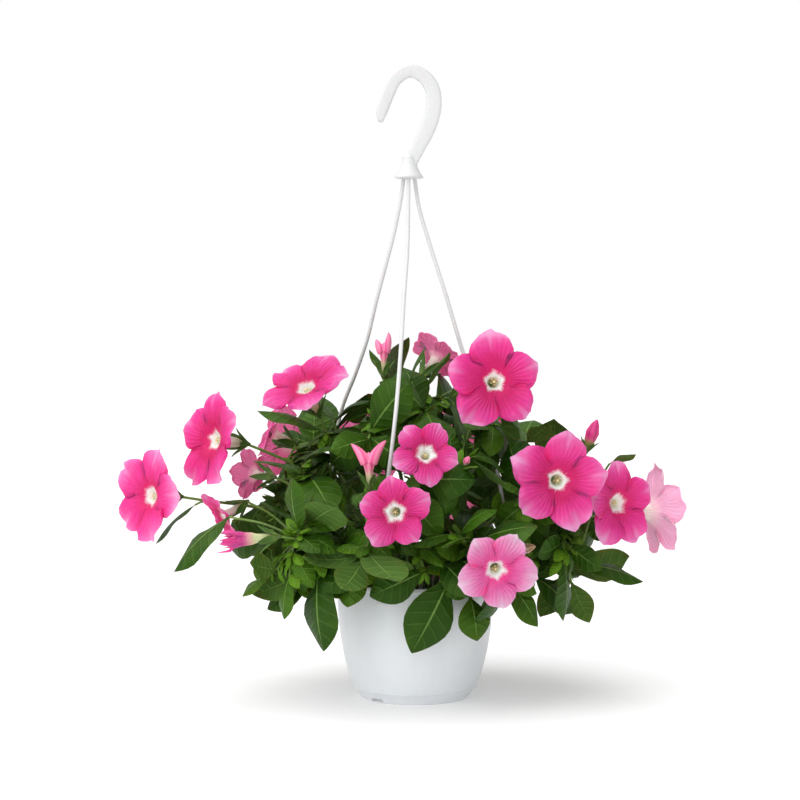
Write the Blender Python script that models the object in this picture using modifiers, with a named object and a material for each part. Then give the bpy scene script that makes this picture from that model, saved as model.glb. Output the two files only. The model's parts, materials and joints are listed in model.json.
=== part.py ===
"""Flowering plant in a hanging pot: pot, soil, hanger, leafy stems, blooms and buds.

Metres, +Z up. The origin is the centre of the pot's foot, on the surface that it stands on.
The front of the plant faces -Y.
"""

import math
import random
from collections import namedtuple

import bmesh
import bpy
from mathutils import Matrix, Vector
from mathutils.bvhtree import BVHTree

NAME = "hanging_pot_plant"
MM = 0.001
GAP = 0.3 * MM
MERGE = 0.00002
SEED = 41
UP = Vector((0.0, 0.0, 1.0))

# Pot
POT_HEIGHT = 0.1125
RIM_RADIUS = 0.0750
LIP_PROUD = 0.0016
LIP_HEIGHT = 0.0040
WALL = 0.0015
SHOULDER_RADIUS = 0.0590
SHOULDER_HEIGHT = 0.0090
WALL_CURVE = 2.5
FOOT_RADIUS = 0.0500
FOOT_WIDTH = 0.0040
FOOT_RECESS = 0.0030
BOSS_RADIUS = 0.0090
FLOOR_TOP = 0.0050
POT_SIDES = 28
WALL_LEVELS = 4
NOTCH_SIZE = (0.0160, 0.0160, 0.0030)
NOTCH_ANGLES = (-43.0, 77.0, 197.0)
DRAIN_RADIUS = 0.0040
DRAIN_CIRCLE = 0.0300
DRAIN_COUNT = 4

# Soil
SOIL_EDGE = 0.0900
SOIL_CROWN = 0.0960
STEM_HOLE_DEPTH = 0.0140
STEM_HOLE_RADIUS = 0.0031

# Hanger
STRAND_ANGLES = (-24.0, 95.0, -144.0)
STRAND_HEIGHT = 0.1010
STRAND_RADIUS = 0.0019
STRAND_POINTS = 12
STRAND_HOLE_RADIUS = 0.0028
PIN_RADIUS = 0.0019
PAD_SIZE = (0.0110, 0.0028, 0.0095)
KNOB_RADIUS = 0.0036
HOOK_DEPTH = 0.0080
HOOK_EDGE = 0.0015
BELL_CENTRE = (-0.0058, -0.0020)
BELL_TOP = 0.5180
BELL_BOTTOM = 0.4985
BELL_TOP_RADIUS = 0.0062
BELL_BOTTOM_RADIUS = 0.0140
BELL_SIDES = 14

# Middle line of the hook from its tip to the bell: x, z and half its width there, in millimetres
HOOK_LINE = ((-32.8, 553.5, 3.2), (-31.6, 562.0, 5.6), (-24.6, 580.0, 5.9), (-17.5, 592.6, 6.0),
             (-4.3, 599.6, 6.1), (8.6, 594.0, 6.6), (16.4, 582.6, 7.1), (18.0, 567.8, 7.4),
             (15.6, 555.2, 7.6), (10.4, 541.0, 7.3), (2.8, 526.0, 6.6), (-4.6, 511.5, 6.2))

# Routes of the strands from the bell to the rim, in millimetres; each ends on its pad
FRONT_STRAND = ((-6.2, -7.5, 500), (-6.6, -12, 470), (-7.4, -24, 430), (-10.8, -45, 381), (-13.6, -66, 335),
                (-17.2, -84, 288), (-21.4, -96, 248), (-25.4, -101, 215), (-28.8, -99, 175),
                (-31.6, -90, 138), (-32.6, -80.5, 116))
RIGHT_STRAND = ((-0.8, 1.5, 500), (3.8, 1.5, 470), (12.4, 0, 440), (21.8, -3, 410), (31, -6, 381),
                (45, -8, 334), (60, -8, 290), (74, -6, 240), (84, -1, 190), (86, 4, 150), (80.6, 7, 118))
LEFT_STRAND = ((-10.6, 1.5, 500), (-14.2, 2, 475), (-21.8, 6, 439), (-37, 17, 382), (-46, 27, 345),
               (-58, 37, 310), (-71.5, 44, 275), (-79, 51, 235), (-78, 60, 190), (-65, 67, 148),
               (-49, 66.5, 118))

# Leafy stems
STEM_SPOTS = 26
STEM_SPREAD = 0.0500
STEM_RADII = (0.0023, 0.0013)
SHOOT_RADII = (0.0013, 0.0010)
STEM_STEPS = 6
SHOOT_STEPS = 2
STEM_CLEARANCE = 0.0008
PROBE_STEP = 0.0020
FLOWER_HOLD = 0.0040
FLOWER_BRANCH = (0.015, 0.200)
SHOOT_BRANCH = (0.025, 0.130)
LEAF_BRANCH = (0.004, 0.120)
TRIES = 60

# Dome of foliage that the shoots reach, and how many shoots reach it
DOME_CENTRE = Vector((0.004, 0.012, 0.145))
DOME_RADII = Vector((0.152, 0.125, 0.145))
DOME_LOW = -0.30
SHOOTS = 36
SHOOTS_PER_STEM = 3
LEAVES_PER_SHOOT = 5
LEAF_LENGTHS = (0.074, 0.044)
ROSETTE_DEPTH = 0.022
GOLDEN_ANGLE = math.radians(137.508)
SIGHT_WIDTH = 0.0035
SIGHT_LOWEST = 0.205
RIM_VIEW = ((-0.068, 0.070), (-0.200, -0.050), 0.117)

# One leaf, in shares of its length and width
OUTER_STATIONS = (0.10, 0.45, 0.78)
INNER_STATIONS = (0.33, 0.72)
LEAF_THICKNESS = 0.024
LEAF_STALK = 0.05
LEAF_ASPECT = 0.58
LEAF_ROOM = 0.012
ROOT_SHARE = 0.10
ROOT_SINK = 0.0002
LeafForm = namedtuple("LeafForm", "bend fold wave phase")
LEAF_FORMS = (LeafForm(0.25, 0.10, 0.020, 0.10), LeafForm(0.60, 0.14, 0.025, 0.45),
              LeafForm(0.95, 0.08, 0.030, 0.75), LeafForm(1.30, 0.12, 0.020, 0.25))

# Calyx under each bloom and bud
KNOB_LENGTH = 0.0060
KNOB_FRONT = 0.0030
CALYX_LOBES = 5
LOBE_LENGTH = 0.0210
BUD_LOBE_SHARE = 0.45
LOBE_ANGLE = math.radians(44.0)

# Colours and roughness of the surfaces
SMOOTH_ANGLE = math.radians(35.0)
Finish = namedtuple("Finish", "colour roughness")
PLASTIC = Finish((0.82, 0.84, 0.86), 0.35)
EARTH = Finish((0.06, 0.04, 0.03), 0.95)
LEAFY = Finish((0.09, 0.19, 0.04), 0.55)
PINK = Finish((0.72, 0.10, 0.30), 0.60)
PALE_PINK = Finish((0.86, 0.48, 0.60), 0.60)
PALE_BLOOMS = ("bloom_14", "bloom_15")

# Corolla, in shares of its radius unless in metres
PETALS = 5
PETAL_THICKNESS = 0.0009
TUBE_SHARE = 0.72
TUBE_END_RADIUS = 0.0017
MOUTH_RADIUS = 0.17
MID_RADIUS = 0.58
NOTCH_RADIUS = 0.74
SHOULDER_SHARE = 0.95

# Name, eye in millimetres, facing angle from the front and above level, diameter in
# millimetres, how far the petals close and the roll about the axis, in degrees
Bloom = namedtuple("Bloom", "name eye turn lift diameter close roll")
BLOOMS = (
    Bloom("bloom_01", (-251, -40, 196), -46, 4, 94, 12, 0),
    Bloom("bloom_02", (-190, -50, 250), -52, 8, 98, 10, 20),
    Bloom("bloom_03", (-104, -34, 300), -30, 50, 94, 8, 10),
    Bloom("bloom_04", (-138, 22, 252), -85, 25, 56, 15, 30),
    Bloom("bloom_05", (-153, -18, 215), -125, 4, 54, 20, 5),
    Bloom("bloom_06", (-180, -36, 177), -68, -30, 57, 15, 40),
    Bloom("bloom_07", (-151, -100, 162), -88, -4, 60, 82, 0),
    Bloom("bloom_08", (22, 44, 325), 128, 42, 66, 14, 15),
    Bloom("bloom_09", (73, -74, 305), 5, 6, 93, 8, 21),
    Bloom("bloom_10", (9, -118, 241), 8, 28, 66, 10, 55),
    Bloom("bloom_11", (-19, -142, 190), -6, 2, 71, 9, 22),
    Bloom("bloom_12", (130, -98, 215), 4, 2, 93, 9, 6),
    Bloom("bloom_13", (189, -62, 191), 34, 2, 83, 12, 16),
    Bloom("bloom_14", (226, -14, 179), 112, 0, 94, 22, 10),
    Bloom("bloom_15", (72, -130, 137), 6, -8, 77, 8, 60),
    Bloom("bloom_16", (-128, 112, 238), -136, 14, 80, 10, 0),
    Bloom("bloom_17", (-42, 150, 236), -168, 16, 88, 9, 25),
    Bloom("bloom_18", (62, 138, 258), 160, 24, 78, 10, 10),
    Bloom("bloom_19", (148, 104, 206), 128, 10, 88, 11, 30),
    Bloom("bloom_20", (-84, 172, 158), -160, -6, 70, 12, 15),
    Bloom("bloom_21", (44, 182, 168), 172, -4, 84, 9, 5),
)

# Name, base in millimetres, turn and lift of its axis in degrees, length, widest radius, and for an
# opening bud where its two lobes end: how far to the side and up, in shares of the length
Bud = namedtuple("Bud", "name base turn lift length radius tips")
BUD_SIDES = 7
OPENING_SIDES = 8
BUDS = (
    Bud("bud_1", (-42, -116, 212), -20, 86, 0.039, 0.0072, ((-0.40, 0.98), (0.41, 1.04))),
    Bud("bud_2", (-30, -30, 312), 5, 86, 0.037, 0.0054, ((-0.19, 0.86), (0.12, 1.04))),
    Bud("bud_3", (159, -58, 241), 62, 68, 0.031, 0.0066, ()),
    Bud("bud_4", (92, -98, 151), 62, 14, 0.020, 0.0050, ()),
    Bud("bud_5", (44, -98, 229), 40, 50, 0.011, 0.0034, ()),
    Bud("bud_6", (-16, 106, 276), 175, 70, 0.034, 0.0062, ()),
)

# Blooms and buds that each stem carries: the first ends the stem, the others branch from it
SPRAYS = (("bloom_01",), ("bloom_02",), ("bloom_03",), ("bloom_05", "bloom_04"), ("bloom_07", "bloom_06"),
          ("bud_2",), ("bloom_08",), ("bloom_09",), ("bloom_10", "bud_5"), ("bud_1",), ("bloom_11",),
          ("bloom_12", "bud_3"), ("bloom_13",), ("bloom_14",), ("bloom_15", "bud_4"), ("bloom_16",),
          ("bloom_17",), ("bloom_18", "bud_6"), ("bloom_19",), ("bloom_20",), ("bloom_21",))

# Outer leaves that shape the outline: root and tip in millimetres, then the width
OUTER_LEAVES = (
    ((-172, -80, 180), (-222, -88, 130), 38), ((-212, 2, 184), (-250, -2, 146), 28),
    ((-128, -78, 131), (-164, -90, 133), 24), ((-136, -66, 126), (-160, -80, 106), 26),
    ((-116, -90, 126), (-120, -101, 88), 22), ((-89, -86, 134), (-84, -96, 58), 42),
    ((31, -94, 126), (-4, -106, 58), 44), ((50, -92, 108), (56, -100, 68), 32),
    ((84, -84, 122), (112, -92, 80), 26), ((8, -96, 132), (-42, -114, 111), 34),
    ((-42, -88, 138), (-86, -104, 115), 26), ((152, -42, 132), (214, -50, 116), 24),
    ((138, -58, 134), (137, -70, 82), 32), ((105, -34, 246), (126, -42, 276), 22),
    ((184, -30, 226), (202, -30, 247), 16), ((-88, -44, 258), (-148, -56, 277), 30),
    ((-106, -100, 170), (-112, -112, 219), 28), ((-6, -18, 298), (-15, -24, 339), 22),
    ((-20, -14, 296), (-44, -14, 334), 22), ((10, 0, 296), (34, -10, 332), 24),
    ((-52, -84, 132), (-62, -108, 100), 30), ((22, -90, 142), (52, -122, 112), 30),
    ((54, -82, 126), (26, -106, 112), 26), ((-66, -82, 150), (-34, -108, 158), 26),
    ((104, -72, 140), (88, -104, 124), 26), ((-100, -60, 118), (-138, -64, 92), 30),
    ((112, -40, 120), (150, -30, 84), 32), ((40, -88, 160), (20, -116, 150), 26),
)


def metres(point):
    """Vector in metres from a point in millimetres."""
    return Vector(point) * MM


def facing(turn, lift):
    """Unit direction turned from the front (-Y) towards +X, and lifted above level."""
    turn, lift = math.radians(turn), math.radians(lift)
    return Vector((math.sin(turn) * math.cos(lift), -math.cos(turn) * math.cos(lift), math.sin(lift)))


def round_place(angle, radius, height):
    """Point on a circle about the pot's axis, at an angle from the front."""
    return facing(angle, 0) * radius + Vector((0, 0, height))


def material(name, colour, roughness):
    """Plain surface material of one colour."""
    made = bpy.data.materials.new(name)
    made.use_nodes = True
    shader = made.node_tree.nodes["Principled BSDF"]
    shader.inputs["Base Color"].default_value = (*colour, 1.0)
    shader.inputs["Roughness"].default_value = roughness
    shader.inputs["Metallic"].default_value = 0.0
    return made


def finish(thing, look):
    """Give an object its own material and smooth its round faces."""
    thing.data.materials.clear()
    thing.data.materials.append(material(thing.name, look.colour, look.roughness))
    thing.data.shade_smooth()
    thing.data.set_sharp_from_angle(angle=SMOOTH_ANGLE)


def mesh_object(name, vertices, edges, faces, collection):
    """Object made from listed geometry, linked into a collection."""
    mesh = bpy.data.meshes.new(name)
    mesh.from_pydata([tuple(v) for v in vertices], edges, faces)
    made = bpy.data.objects.new(name, mesh)
    collection.objects.link(made)
    return made


def move_to(thing, collection):
    """Link an object into one collection only."""
    for owner in list(thing.users_collection):
        owner.objects.unlink(thing)
    collection.objects.link(thing)
    return thing


def freeze(thing):
    """Replace an object's mesh by its evaluated one and drop its modifiers."""
    bpy.context.view_layer.update()
    graph = bpy.context.evaluated_depsgraph_get()
    mesh = bpy.data.meshes.new_from_object(thing.evaluated_get(graph))
    thing.modifiers.clear()
    thing.data = mesh
    return thing


def turned(name, profile, sides, collection):
    """Solid turned about Z from a profile of radius and height, top to bottom outside."""
    vertices = [(radius, 0.0, height) for radius, height in profile]
    edges = [(i, i + 1) for i in range(len(profile) - 1)]
    made = mesh_object(name, vertices, edges, [], collection)
    screw = made.modifiers.new("turn", "SCREW")
    screw.axis = "Z"
    screw.steps = sides
    screw.render_steps = sides
    screw.use_merge_vertices = True
    screw.merge_threshold = MERGE
    return freeze(made)


def boolean(target, other, operation, solver="EXACT"):
    """Cut or join another object or a whole collection, and apply it."""
    step = target.modifiers.new("join", "BOOLEAN")
    step.operation = operation
    step.solver = solver
    if isinstance(other, bpy.types.Collection):
        step.operand_type = "COLLECTION"
        step.collection = other
    else:
        step.object = other
    return freeze(target)


def discard(things):
    """Remove objects that have been used up."""
    for thing in list(things):
        bpy.data.objects.remove(thing)


def tube(name, points, radii, ring, collection):
    """Rod along points whose radius goes evenly from the first value to the second."""
    curve = bpy.data.curves.new(name, "CURVE")
    curve.dimensions = "3D"
    curve.bevel_depth = MM
    curve.bevel_resolution = ring
    curve.use_fill_caps = True
    spline = curve.splines.new("POLY")
    spline.points.add(len(points) - 1)
    for i, point in enumerate(points):
        share = i / (len(points) - 1)
        spline.points[i].co = (*point, 1.0)
        spline.points[i].radius = (radii[0] + (radii[1] - radii[0]) * share) / MM
    source = bpy.data.objects.new(name, curve)
    collection.objects.link(source)
    bpy.context.view_layer.update()
    graph = bpy.context.evaluated_depsgraph_get()
    mesh = bpy.data.meshes.new_from_object(source.evaluated_get(graph))
    weld(mesh)
    made = bpy.data.objects.new(name, mesh)
    made.matrix_world = source.matrix_world
    collection.objects.link(made)
    bpy.data.objects.remove(source)
    return made


def weld(mesh):
    """Merge a mesh's doubled points."""
    work = bmesh.new()
    work.from_mesh(mesh)
    bmesh.ops.remove_doubles(work, verts=work.verts, dist=MERGE)
    work.to_mesh(mesh)
    work.free()


def smooth_path(points, count):
    """Evenly counted points of a Catmull-Rom curve through a route's own points."""
    route = [points[0] * 2 - points[1], *points, points[-1] * 2 - points[-2]]
    spans = len(points) - 1
    path = []
    for i in range(count):
        place = i / (count - 1) * spans
        k = min(int(place), spans - 1)
        t = place - k
        a, b, c, d = route[k:k + 4]
        path.append(0.5 * (2 * b + (c - a) * t + (2 * a - 5 * b + 4 * c - d) * t ** 2
                           + (3 * b - a - 3 * c + d) * t ** 3))
    return path


def bezier(a, b, c, d, steps):
    """Points of a cubic curve from a to d."""
    path = []
    for i in range(steps + 1):
        t = i / steps
        path.append(a * (1 - t) ** 3 + b * 3 * t * (1 - t) ** 2 + c * 3 * t * t * (1 - t) + d * t ** 3)
    return path


# Pot and soil


def wall_radius(height):
    """Outer radius of the pot's wall: it curves in ever faster towards the shoulder."""
    share = (height - SHOULDER_HEIGHT) / (POT_HEIGHT - SHOULDER_HEIGHT)
    return SHOULDER_RADIUS + (RIM_RADIUS - SHOULDER_RADIUS) * (1 - (1 - share) ** WALL_CURVE)


def wall_heights():
    """Heights of the wall's profile points from the top down, closer where it curves."""
    span = POT_HEIGHT - LIP_HEIGHT - SHOULDER_HEIGHT
    return [SHOULDER_HEIGHT + span * (1 - i / WALL_LEVELS) ** 1.4 for i in range(WALL_LEVELS + 1)]


def wall_line(inset):
    """Points of the wall from under the lip down to the shoulder, moved inwards by an inset."""
    return [(wall_radius(z) - inset, z) for z in wall_heights()]


def pot_profile():
    """Profile from the middle of the floor, up inside, over the lip and down outside."""
    lip_low = POT_HEIGHT - LIP_HEIGHT
    lip_radius = RIM_RADIUS + LIP_PROUD
    inside = wall_line(WALL)[::-1]
    outside = wall_line(0)
    foot_inner = FOOT_RADIUS - FOOT_WIDTH
    return [(0, FLOOR_TOP), (FOOT_RADIUS, FLOOR_TOP), *inside, (RIM_RADIUS - WALL, POT_HEIGHT),
            (lip_radius - 0.5 * MM, POT_HEIGHT), (lip_radius, POT_HEIGHT - 0.6 * MM),
            (lip_radius - 0.2 * MM, lip_low), *outside, (FOOT_RADIUS, 0), (foot_inner, 0),
            (foot_inner - 0.4 * MM, FOOT_RECESS), (BOSS_RADIUS + 0.4 * MM, FOOT_RECESS),
            (BOSS_RADIUS, 0), (0, 0)]


def radial_frame(angle, radius, height):
    """Placement at an angle about the pot, with local +Y pointing outwards."""
    turn = Matrix.Rotation(math.pi + math.radians(angle), 4, "Z")
    return Matrix.Translation(round_place(angle, radius, height)) @ turn


def cylinder(name, radius, depth, sides, placement, collection):
    """Round rod along local Z at a placement."""
    bpy.ops.mesh.primitive_cylinder_add(radius=radius, depth=depth, vertices=sides)
    made = bpy.context.object
    made.name = name
    made.matrix_world = placement
    return move_to(made, collection)


def box(name, size, placement, collection):
    """Box of a size centred on a placement, its scale already in its mesh."""
    bpy.ops.mesh.primitive_cube_add(size=1.0)
    made = bpy.context.object
    made.name = name
    made.data.transform(Matrix.Diagonal((*size, 1.0)))
    made.matrix_world = placement
    return move_to(made, collection)


def make_pot(parts, cutters):
    """Pot with its strand holes, foot notches and drain holes."""
    pot = turned("pot", pot_profile(), POT_SIDES, parts)
    upright = Matrix.Rotation(math.pi / 2, 4, "X")
    for angle in STRAND_ANGLES:
        hole = radial_frame(angle, wall_radius(STRAND_HEIGHT), STRAND_HEIGHT) @ upright
        cylinder("strand_hole", STRAND_HOLE_RADIUS, 0.02, 12, hole, cutters)
    for angle in NOTCH_ANGLES:
        box("foot_notch", NOTCH_SIZE, radial_frame(angle, FOOT_RADIUS, NOTCH_SIZE[2] / 2 - GAP), cutters)
    for k in range(DRAIN_COUNT):
        drain = Matrix.Translation(round_place(45 + 360 * k / DRAIN_COUNT, DRAIN_CIRCLE, FLOOR_TOP))
        cylinder("drain_hole", DRAIN_RADIUS, 0.02, 10, drain, cutters)
    boolean(pot, cutters, "DIFFERENCE")
    discard(cutters.objects)
    return pot


def make_soil(parts, cutters, spots):
    """Soil that fills the pot, with a plain hole for each stem."""
    above, *below = wall_line(WALL + GAP)
    share = (SOIL_EDGE - below[0][1]) / (above[1] - below[0][1])
    edge = [(below[0][0] + (above[0] - below[0][0]) * share, SOIL_EDGE), *below]
    profile = [(0, SOIL_CROWN), (STEM_SPREAD, SOIL_CROWN - 1.5 * MM), *edge,
               (FOOT_RADIUS - 2 * MM, FLOOR_TOP + GAP), (0, FLOOR_TOP + GAP)]
    soil = turned("soil", profile, POT_SIDES, parts)
    for x, y in spots:
        hole = Matrix.Translation((x, y, SOIL_CROWN))
        cylinder("stem_hole", STEM_HOLE_RADIUS, 2 * STEM_HOLE_DEPTH, 6, hole, cutters)
    boolean(soil, cutters, "DIFFERENCE")
    discard(cutters.objects)
    return soil


# Hanger


def hook_outline():
    """Outline of the flat hook: its middle line offset to both sides, round at the tip."""
    line = smooth_path([Vector((x, z, w)) * MM for x, z, w in HOOK_LINE], 22)
    left, right = [], []
    for i, here in enumerate(line):
        ahead = line[min(i + 1, len(line) - 1)] - line[max(i - 1, 0)]
        side = Vector((-ahead.y, ahead.x)).normalized() * here.z
        left.append(here.xy + side)
        right.append(here.xy - side)
    tip, start = line[0], (line[1] - line[0]).xy.normalized()
    cap = [tip.xy - start * tip.z * math.sin(a) + (right[0] - tip.xy) * math.cos(a)
           for a in (math.radians(d) for d in (40, 90, 140))]
    return [*left[::-1], *cap[::-1], *right]


def make_hook(collection):
    """Flat hook plate with rounded edges, standing in the XZ plane."""
    curve = bpy.data.curves.new("hook", "CURVE")
    curve.dimensions = "2D"
    curve.fill_mode = "BOTH"
    curve.extrude = HOOK_DEPTH / 2 - HOOK_EDGE
    curve.bevel_depth = HOOK_EDGE
    curve.bevel_resolution = 0
    curve.offset = -HOOK_EDGE
    outline = hook_outline()
    spline = curve.splines.new("POLY")
    spline.points.add(len(outline) - 1)
    for point, place in zip(spline.points, outline):
        point.co = (place.x, place.y, 0.0, 1.0)
    spline.use_cyclic_u = True
    source = bpy.data.objects.new("hook", curve)
    collection.objects.link(source)
    source.matrix_world = Matrix.Translation((0, BELL_CENTRE[1], 0)) @ Matrix.Rotation(math.pi / 2, 4, "X")
    bpy.context.view_layer.update()
    mesh = bpy.data.meshes.new_from_object(source.evaluated_get(bpy.context.evaluated_depsgraph_get()))
    weld(mesh)
    made = bpy.data.objects.new("hook", mesh)
    made.matrix_world = source.matrix_world
    collection.objects.link(made)
    bpy.data.objects.remove(source)
    return made


def make_bell(collection):
    """Bell-shaped foot of the hook, hollow sided, with a shallow dish below."""
    rise = BELL_TOP - BELL_BOTTOM
    flare = BELL_BOTTOM_RADIUS - BELL_TOP_RADIUS
    profile = [(0, BELL_TOP + 2 * MM), (BELL_TOP_RADIUS * 0.8, BELL_TOP + 2 * MM)]
    for share in (0.0, 0.3, 0.55, 0.75, 0.9):
        profile.append((BELL_TOP_RADIUS + flare * share ** 1.9, BELL_TOP - rise * share))
    profile += [(BELL_BOTTOM_RADIUS, BELL_BOTTOM), (BELL_BOTTOM_RADIUS - 1.5 * MM, BELL_BOTTOM - MM),
                (0, BELL_BOTTOM - 1.6 * MM)]
    bell = turned("bell", profile, BELL_SIDES, collection)
    bell.data.transform(Matrix.Translation((*BELL_CENTRE, 0)))
    return bell


def strand_path(route, angle):
    """Points of one strand, down to the middle of its pad outside the wall."""
    pad = round_place(angle, pad_radius(), STRAND_HEIGHT + PAD_SIZE[2] / 4)
    return smooth_path([metres(point) for point in route] + [pad], STRAND_POINTS)


def pad_radius():
    """Distance of a pad's middle from the pot's axis: it lies just clear of the lip."""
    return RIM_RADIUS + LIP_PROUD + GAP + PAD_SIZE[1] / 2


def make_hanger(parts, pieces):
    """Hook, bell, three strands and their ends, joined into one moulding."""
    hanger = make_hook(parts)
    hanger.name = "hanger"
    make_bell(pieces)
    for route, angle in zip((FRONT_STRAND, RIGHT_STRAND, LEFT_STRAND), STRAND_ANGLES):
        tube("strand", strand_path(route, angle), (STRAND_RADIUS, STRAND_RADIUS), 1, pieces)
        box("pad", PAD_SIZE, radial_frame(angle, pad_radius(), STRAND_HEIGHT), pieces)
        inner = wall_radius(STRAND_HEIGHT) - WALL - KNOB_RADIUS
        middle = (inner + pad_radius()) / 2
        pin = radial_frame(angle, middle, STRAND_HEIGHT) @ Matrix.Rotation(math.pi / 2, 4, "X")
        cylinder("pin", PIN_RADIUS, pad_radius() - inner, 8, pin, pieces)
        bpy.ops.mesh.primitive_uv_sphere_add(segments=6, ring_count=4, radius=KNOB_RADIUS)
        knob = move_to(bpy.context.object, pieces)
        knob.matrix_world = radial_frame(angle, inner - GAP, STRAND_HEIGHT)
    boolean(hanger, pieces, "UNION")
    discard(pieces.objects)
    return hanger


# Blooms and buds


def axis_frame(place, direction, roll):
    """Placement whose +Z points along a direction, rolled about it by degrees."""
    turn = direction.to_track_quat("Z", "Y").to_matrix().to_4x4()
    return Matrix.Translation(place) @ turn @ Matrix.Rotation(math.radians(roll), 4, "Z")


def limb_point(bloom, share, angle, wave):
    """Point of the open part of a corolla: share of its radius, angle about it, extra height."""
    radius = bloom.diameter * MM / 2
    mouth = MOUTH_RADIUS * radius
    reach = (share - MOUTH_RADIUS) * radius
    close = math.radians(bloom.close)
    out = mouth + reach * math.cos(close)
    rise = reach * math.sin(close) + wave * radius
    return Vector((out * math.cos(angle), out * math.sin(angle), rise))


def tube_length(bloom):
    """Length of a corolla's tube, from its mouth back to its end."""
    return bloom.diameter * MM / 2 * TUBE_SHARE


def corolla_rings(bloom):
    """Rings of points from the end of the tube to the edge of the petals."""
    rings = [[Vector((TUBE_END_RADIUS * math.cos(a), TUBE_END_RADIUS * math.sin(a), -tube_length(bloom)))
              for a in (math.tau * k / PETALS for k in range(PETALS))]]
    for share, high, low in ((MOUTH_RADIUS, 0.0, 0.0), (MID_RADIUS, 0.035, -0.015)):
        rings.append([limb_point(bloom, share, math.tau * k / (2 * PETALS), low if k % 2 else high)
                      for k in range(2 * PETALS)])
    edge = ((1.0, -0.05), (SHOULDER_SHARE, 0.03), (NOTCH_RADIUS, -0.03), (SHOULDER_SHARE, 0.02))
    rings.append([limb_point(bloom, *(edge[k % 4][0], math.tau * k / (4 * PETALS), edge[k % 4][1]))
                  for k in range(4 * PETALS)])
    return rings


def stitch(inner, outer):
    """Triangles between two rings of point numbers, the outer with as many or twice as many."""
    faces = []
    times = len(outer) // len(inner)
    for k, here in enumerate(inner):
        following = inner[(k + 1) % len(inner)]
        row = [outer[(k * times + j) % len(outer)] for j in range(times + 1)]
        turn = times // 2
        faces += [(here, row[j], row[j + 1]) for j in range(turn)]
        faces.append((here, row[turn], following))
        faces += [(following, row[j], row[j + 1]) for j in range(turn, times)]
    return faces


def make_corolla(bloom, collection):
    """Five joined petals with their throat and tube, as one thin shell."""
    rings = corolla_rings(bloom)
    numbers, vertices = [], [Vector((0, 0, rings[0][0].z))]
    for ring in rings:
        numbers.append(list(range(len(vertices), len(vertices) + len(ring))))
        vertices += ring
    first = numbers[0]
    faces = [(0, first[k], first[(k + 1) % len(first)]) for k in range(len(first))]
    for inner, outer in zip(numbers, numbers[1:]):
        faces += stitch(inner, outer)
    made = mesh_object(bloom.name, vertices, [], faces, collection)
    shell = made.modifiers.new("thickness", "SOLIDIFY")
    shell.thickness = PETAL_THICKNESS
    shell.offset = -1.0
    freeze(made)
    made.matrix_world = axis_frame(metres(bloom.eye), facing(bloom.turn, bloom.lift), bloom.roll)
    return made


def opening_bud(bud, collection):
    """Opening bud: a narrow funnel that ends in two pointed lobes, one to each side."""
    vertices, faces = [Vector(), *(Vector((x, 0, z)) * bud.length for x, z in bud.tips)], []
    start = len(vertices)
    for share, wide in ((0.0, 0.26), (0.34, 0.52), (0.60, 1.0)):
        for k in range(OPENING_SIDES):
            angle = math.tau * (k / OPENING_SIDES - 0.25)
            vertices.append(Vector((bud.radius * wide * math.cos(angle), bud.radius * wide * math.sin(angle),
                                    bud.length * share)))
    top = start + 2 * OPENING_SIDES
    half = OPENING_SIDES // 2
    for k in range(OPENING_SIDES):
        j = (k + 1) % OPENING_SIDES
        faces.append((0, start + j, start + k))
        for low in (start, start + OPENING_SIDES):
            high = low + OPENING_SIDES
            faces.append((low + k, low + j, high + j, high + k))
        faces.append((2 if k < half else 1, top + k, top + j))
    faces += [(2, top + half, top), (1, top, top + half)]
    return mesh_object(bud.name, vertices, [], faces, collection)


def closed_bud(bud, collection):
    """Closed bud: a spindle that is widest below its middle and pointed at its tip."""
    levels = ((0.0, 0.22), (0.30, 0.80), (0.58, 1.0), (0.82, 0.62))
    profile = [(0, bud.length)] + [(bud.radius * wide, bud.length * share)
                                   for share, wide in reversed(levels)] + [(0, 0)]
    return turned(bud.name, profile, BUD_SIDES, collection)


def make_bud(bud, collection):
    """Bud in its place, its lobes to the left and right as seen from the front."""
    made = opening_bud(bud, collection) if bud.tips else closed_bud(bud, collection)
    direction = facing(bud.turn, bud.lift)
    side = Vector((0, 1, 0)).cross(direction).normalized()
    turn = Matrix((side, direction.cross(side), direction)).transposed().to_4x4()
    made.matrix_world = Matrix.Translation(metres(bud.base)) @ turn
    return made


def flower_end(flower):
    """Place behind a flower where its calyx ends, and the direction that it faces."""
    direction = facing(flower.turn, flower.lift)
    if isinstance(flower, Bloom):
        back = tube_length(flower) + PETAL_THICKNESS + GAP
        return metres(flower.eye) - direction * back, direction
    return metres(flower.base) - direction * GAP, direction


def lobe_length(flower):
    """Length of the calyx lobes under a flower: a bud's are in step with its own length."""
    return LOBE_LENGTH if isinstance(flower, Bloom) else BUD_LOBE_SHARE * flower.length


# Leaves


def half_width(t):
    """Half a leaf's width at share t of its length, as a share of its full width."""
    return LEAF_STALK * (1 - t) + 0.5 * math.sin(math.pi * min(t, 1.0) ** 1.15) ** 1.15


def blade_point(t, u, form, lift=0.0):
    """Point of a leaf: t along its length, u across from -1 to 1, lift off its middle surface."""
    angle = form.bend * t
    reach = half_width(t)
    edge = form.wave * u * u * math.sin(math.tau * (1.6 * t + form.phase)) - form.fold * abs(u) * reach
    rise = edge + lift
    return Vector((u * reach, math.sin(angle) / form.bend + math.sin(angle) * rise,
                   (math.cos(angle) - 1) / form.bend + math.cos(angle) * rise))


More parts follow.
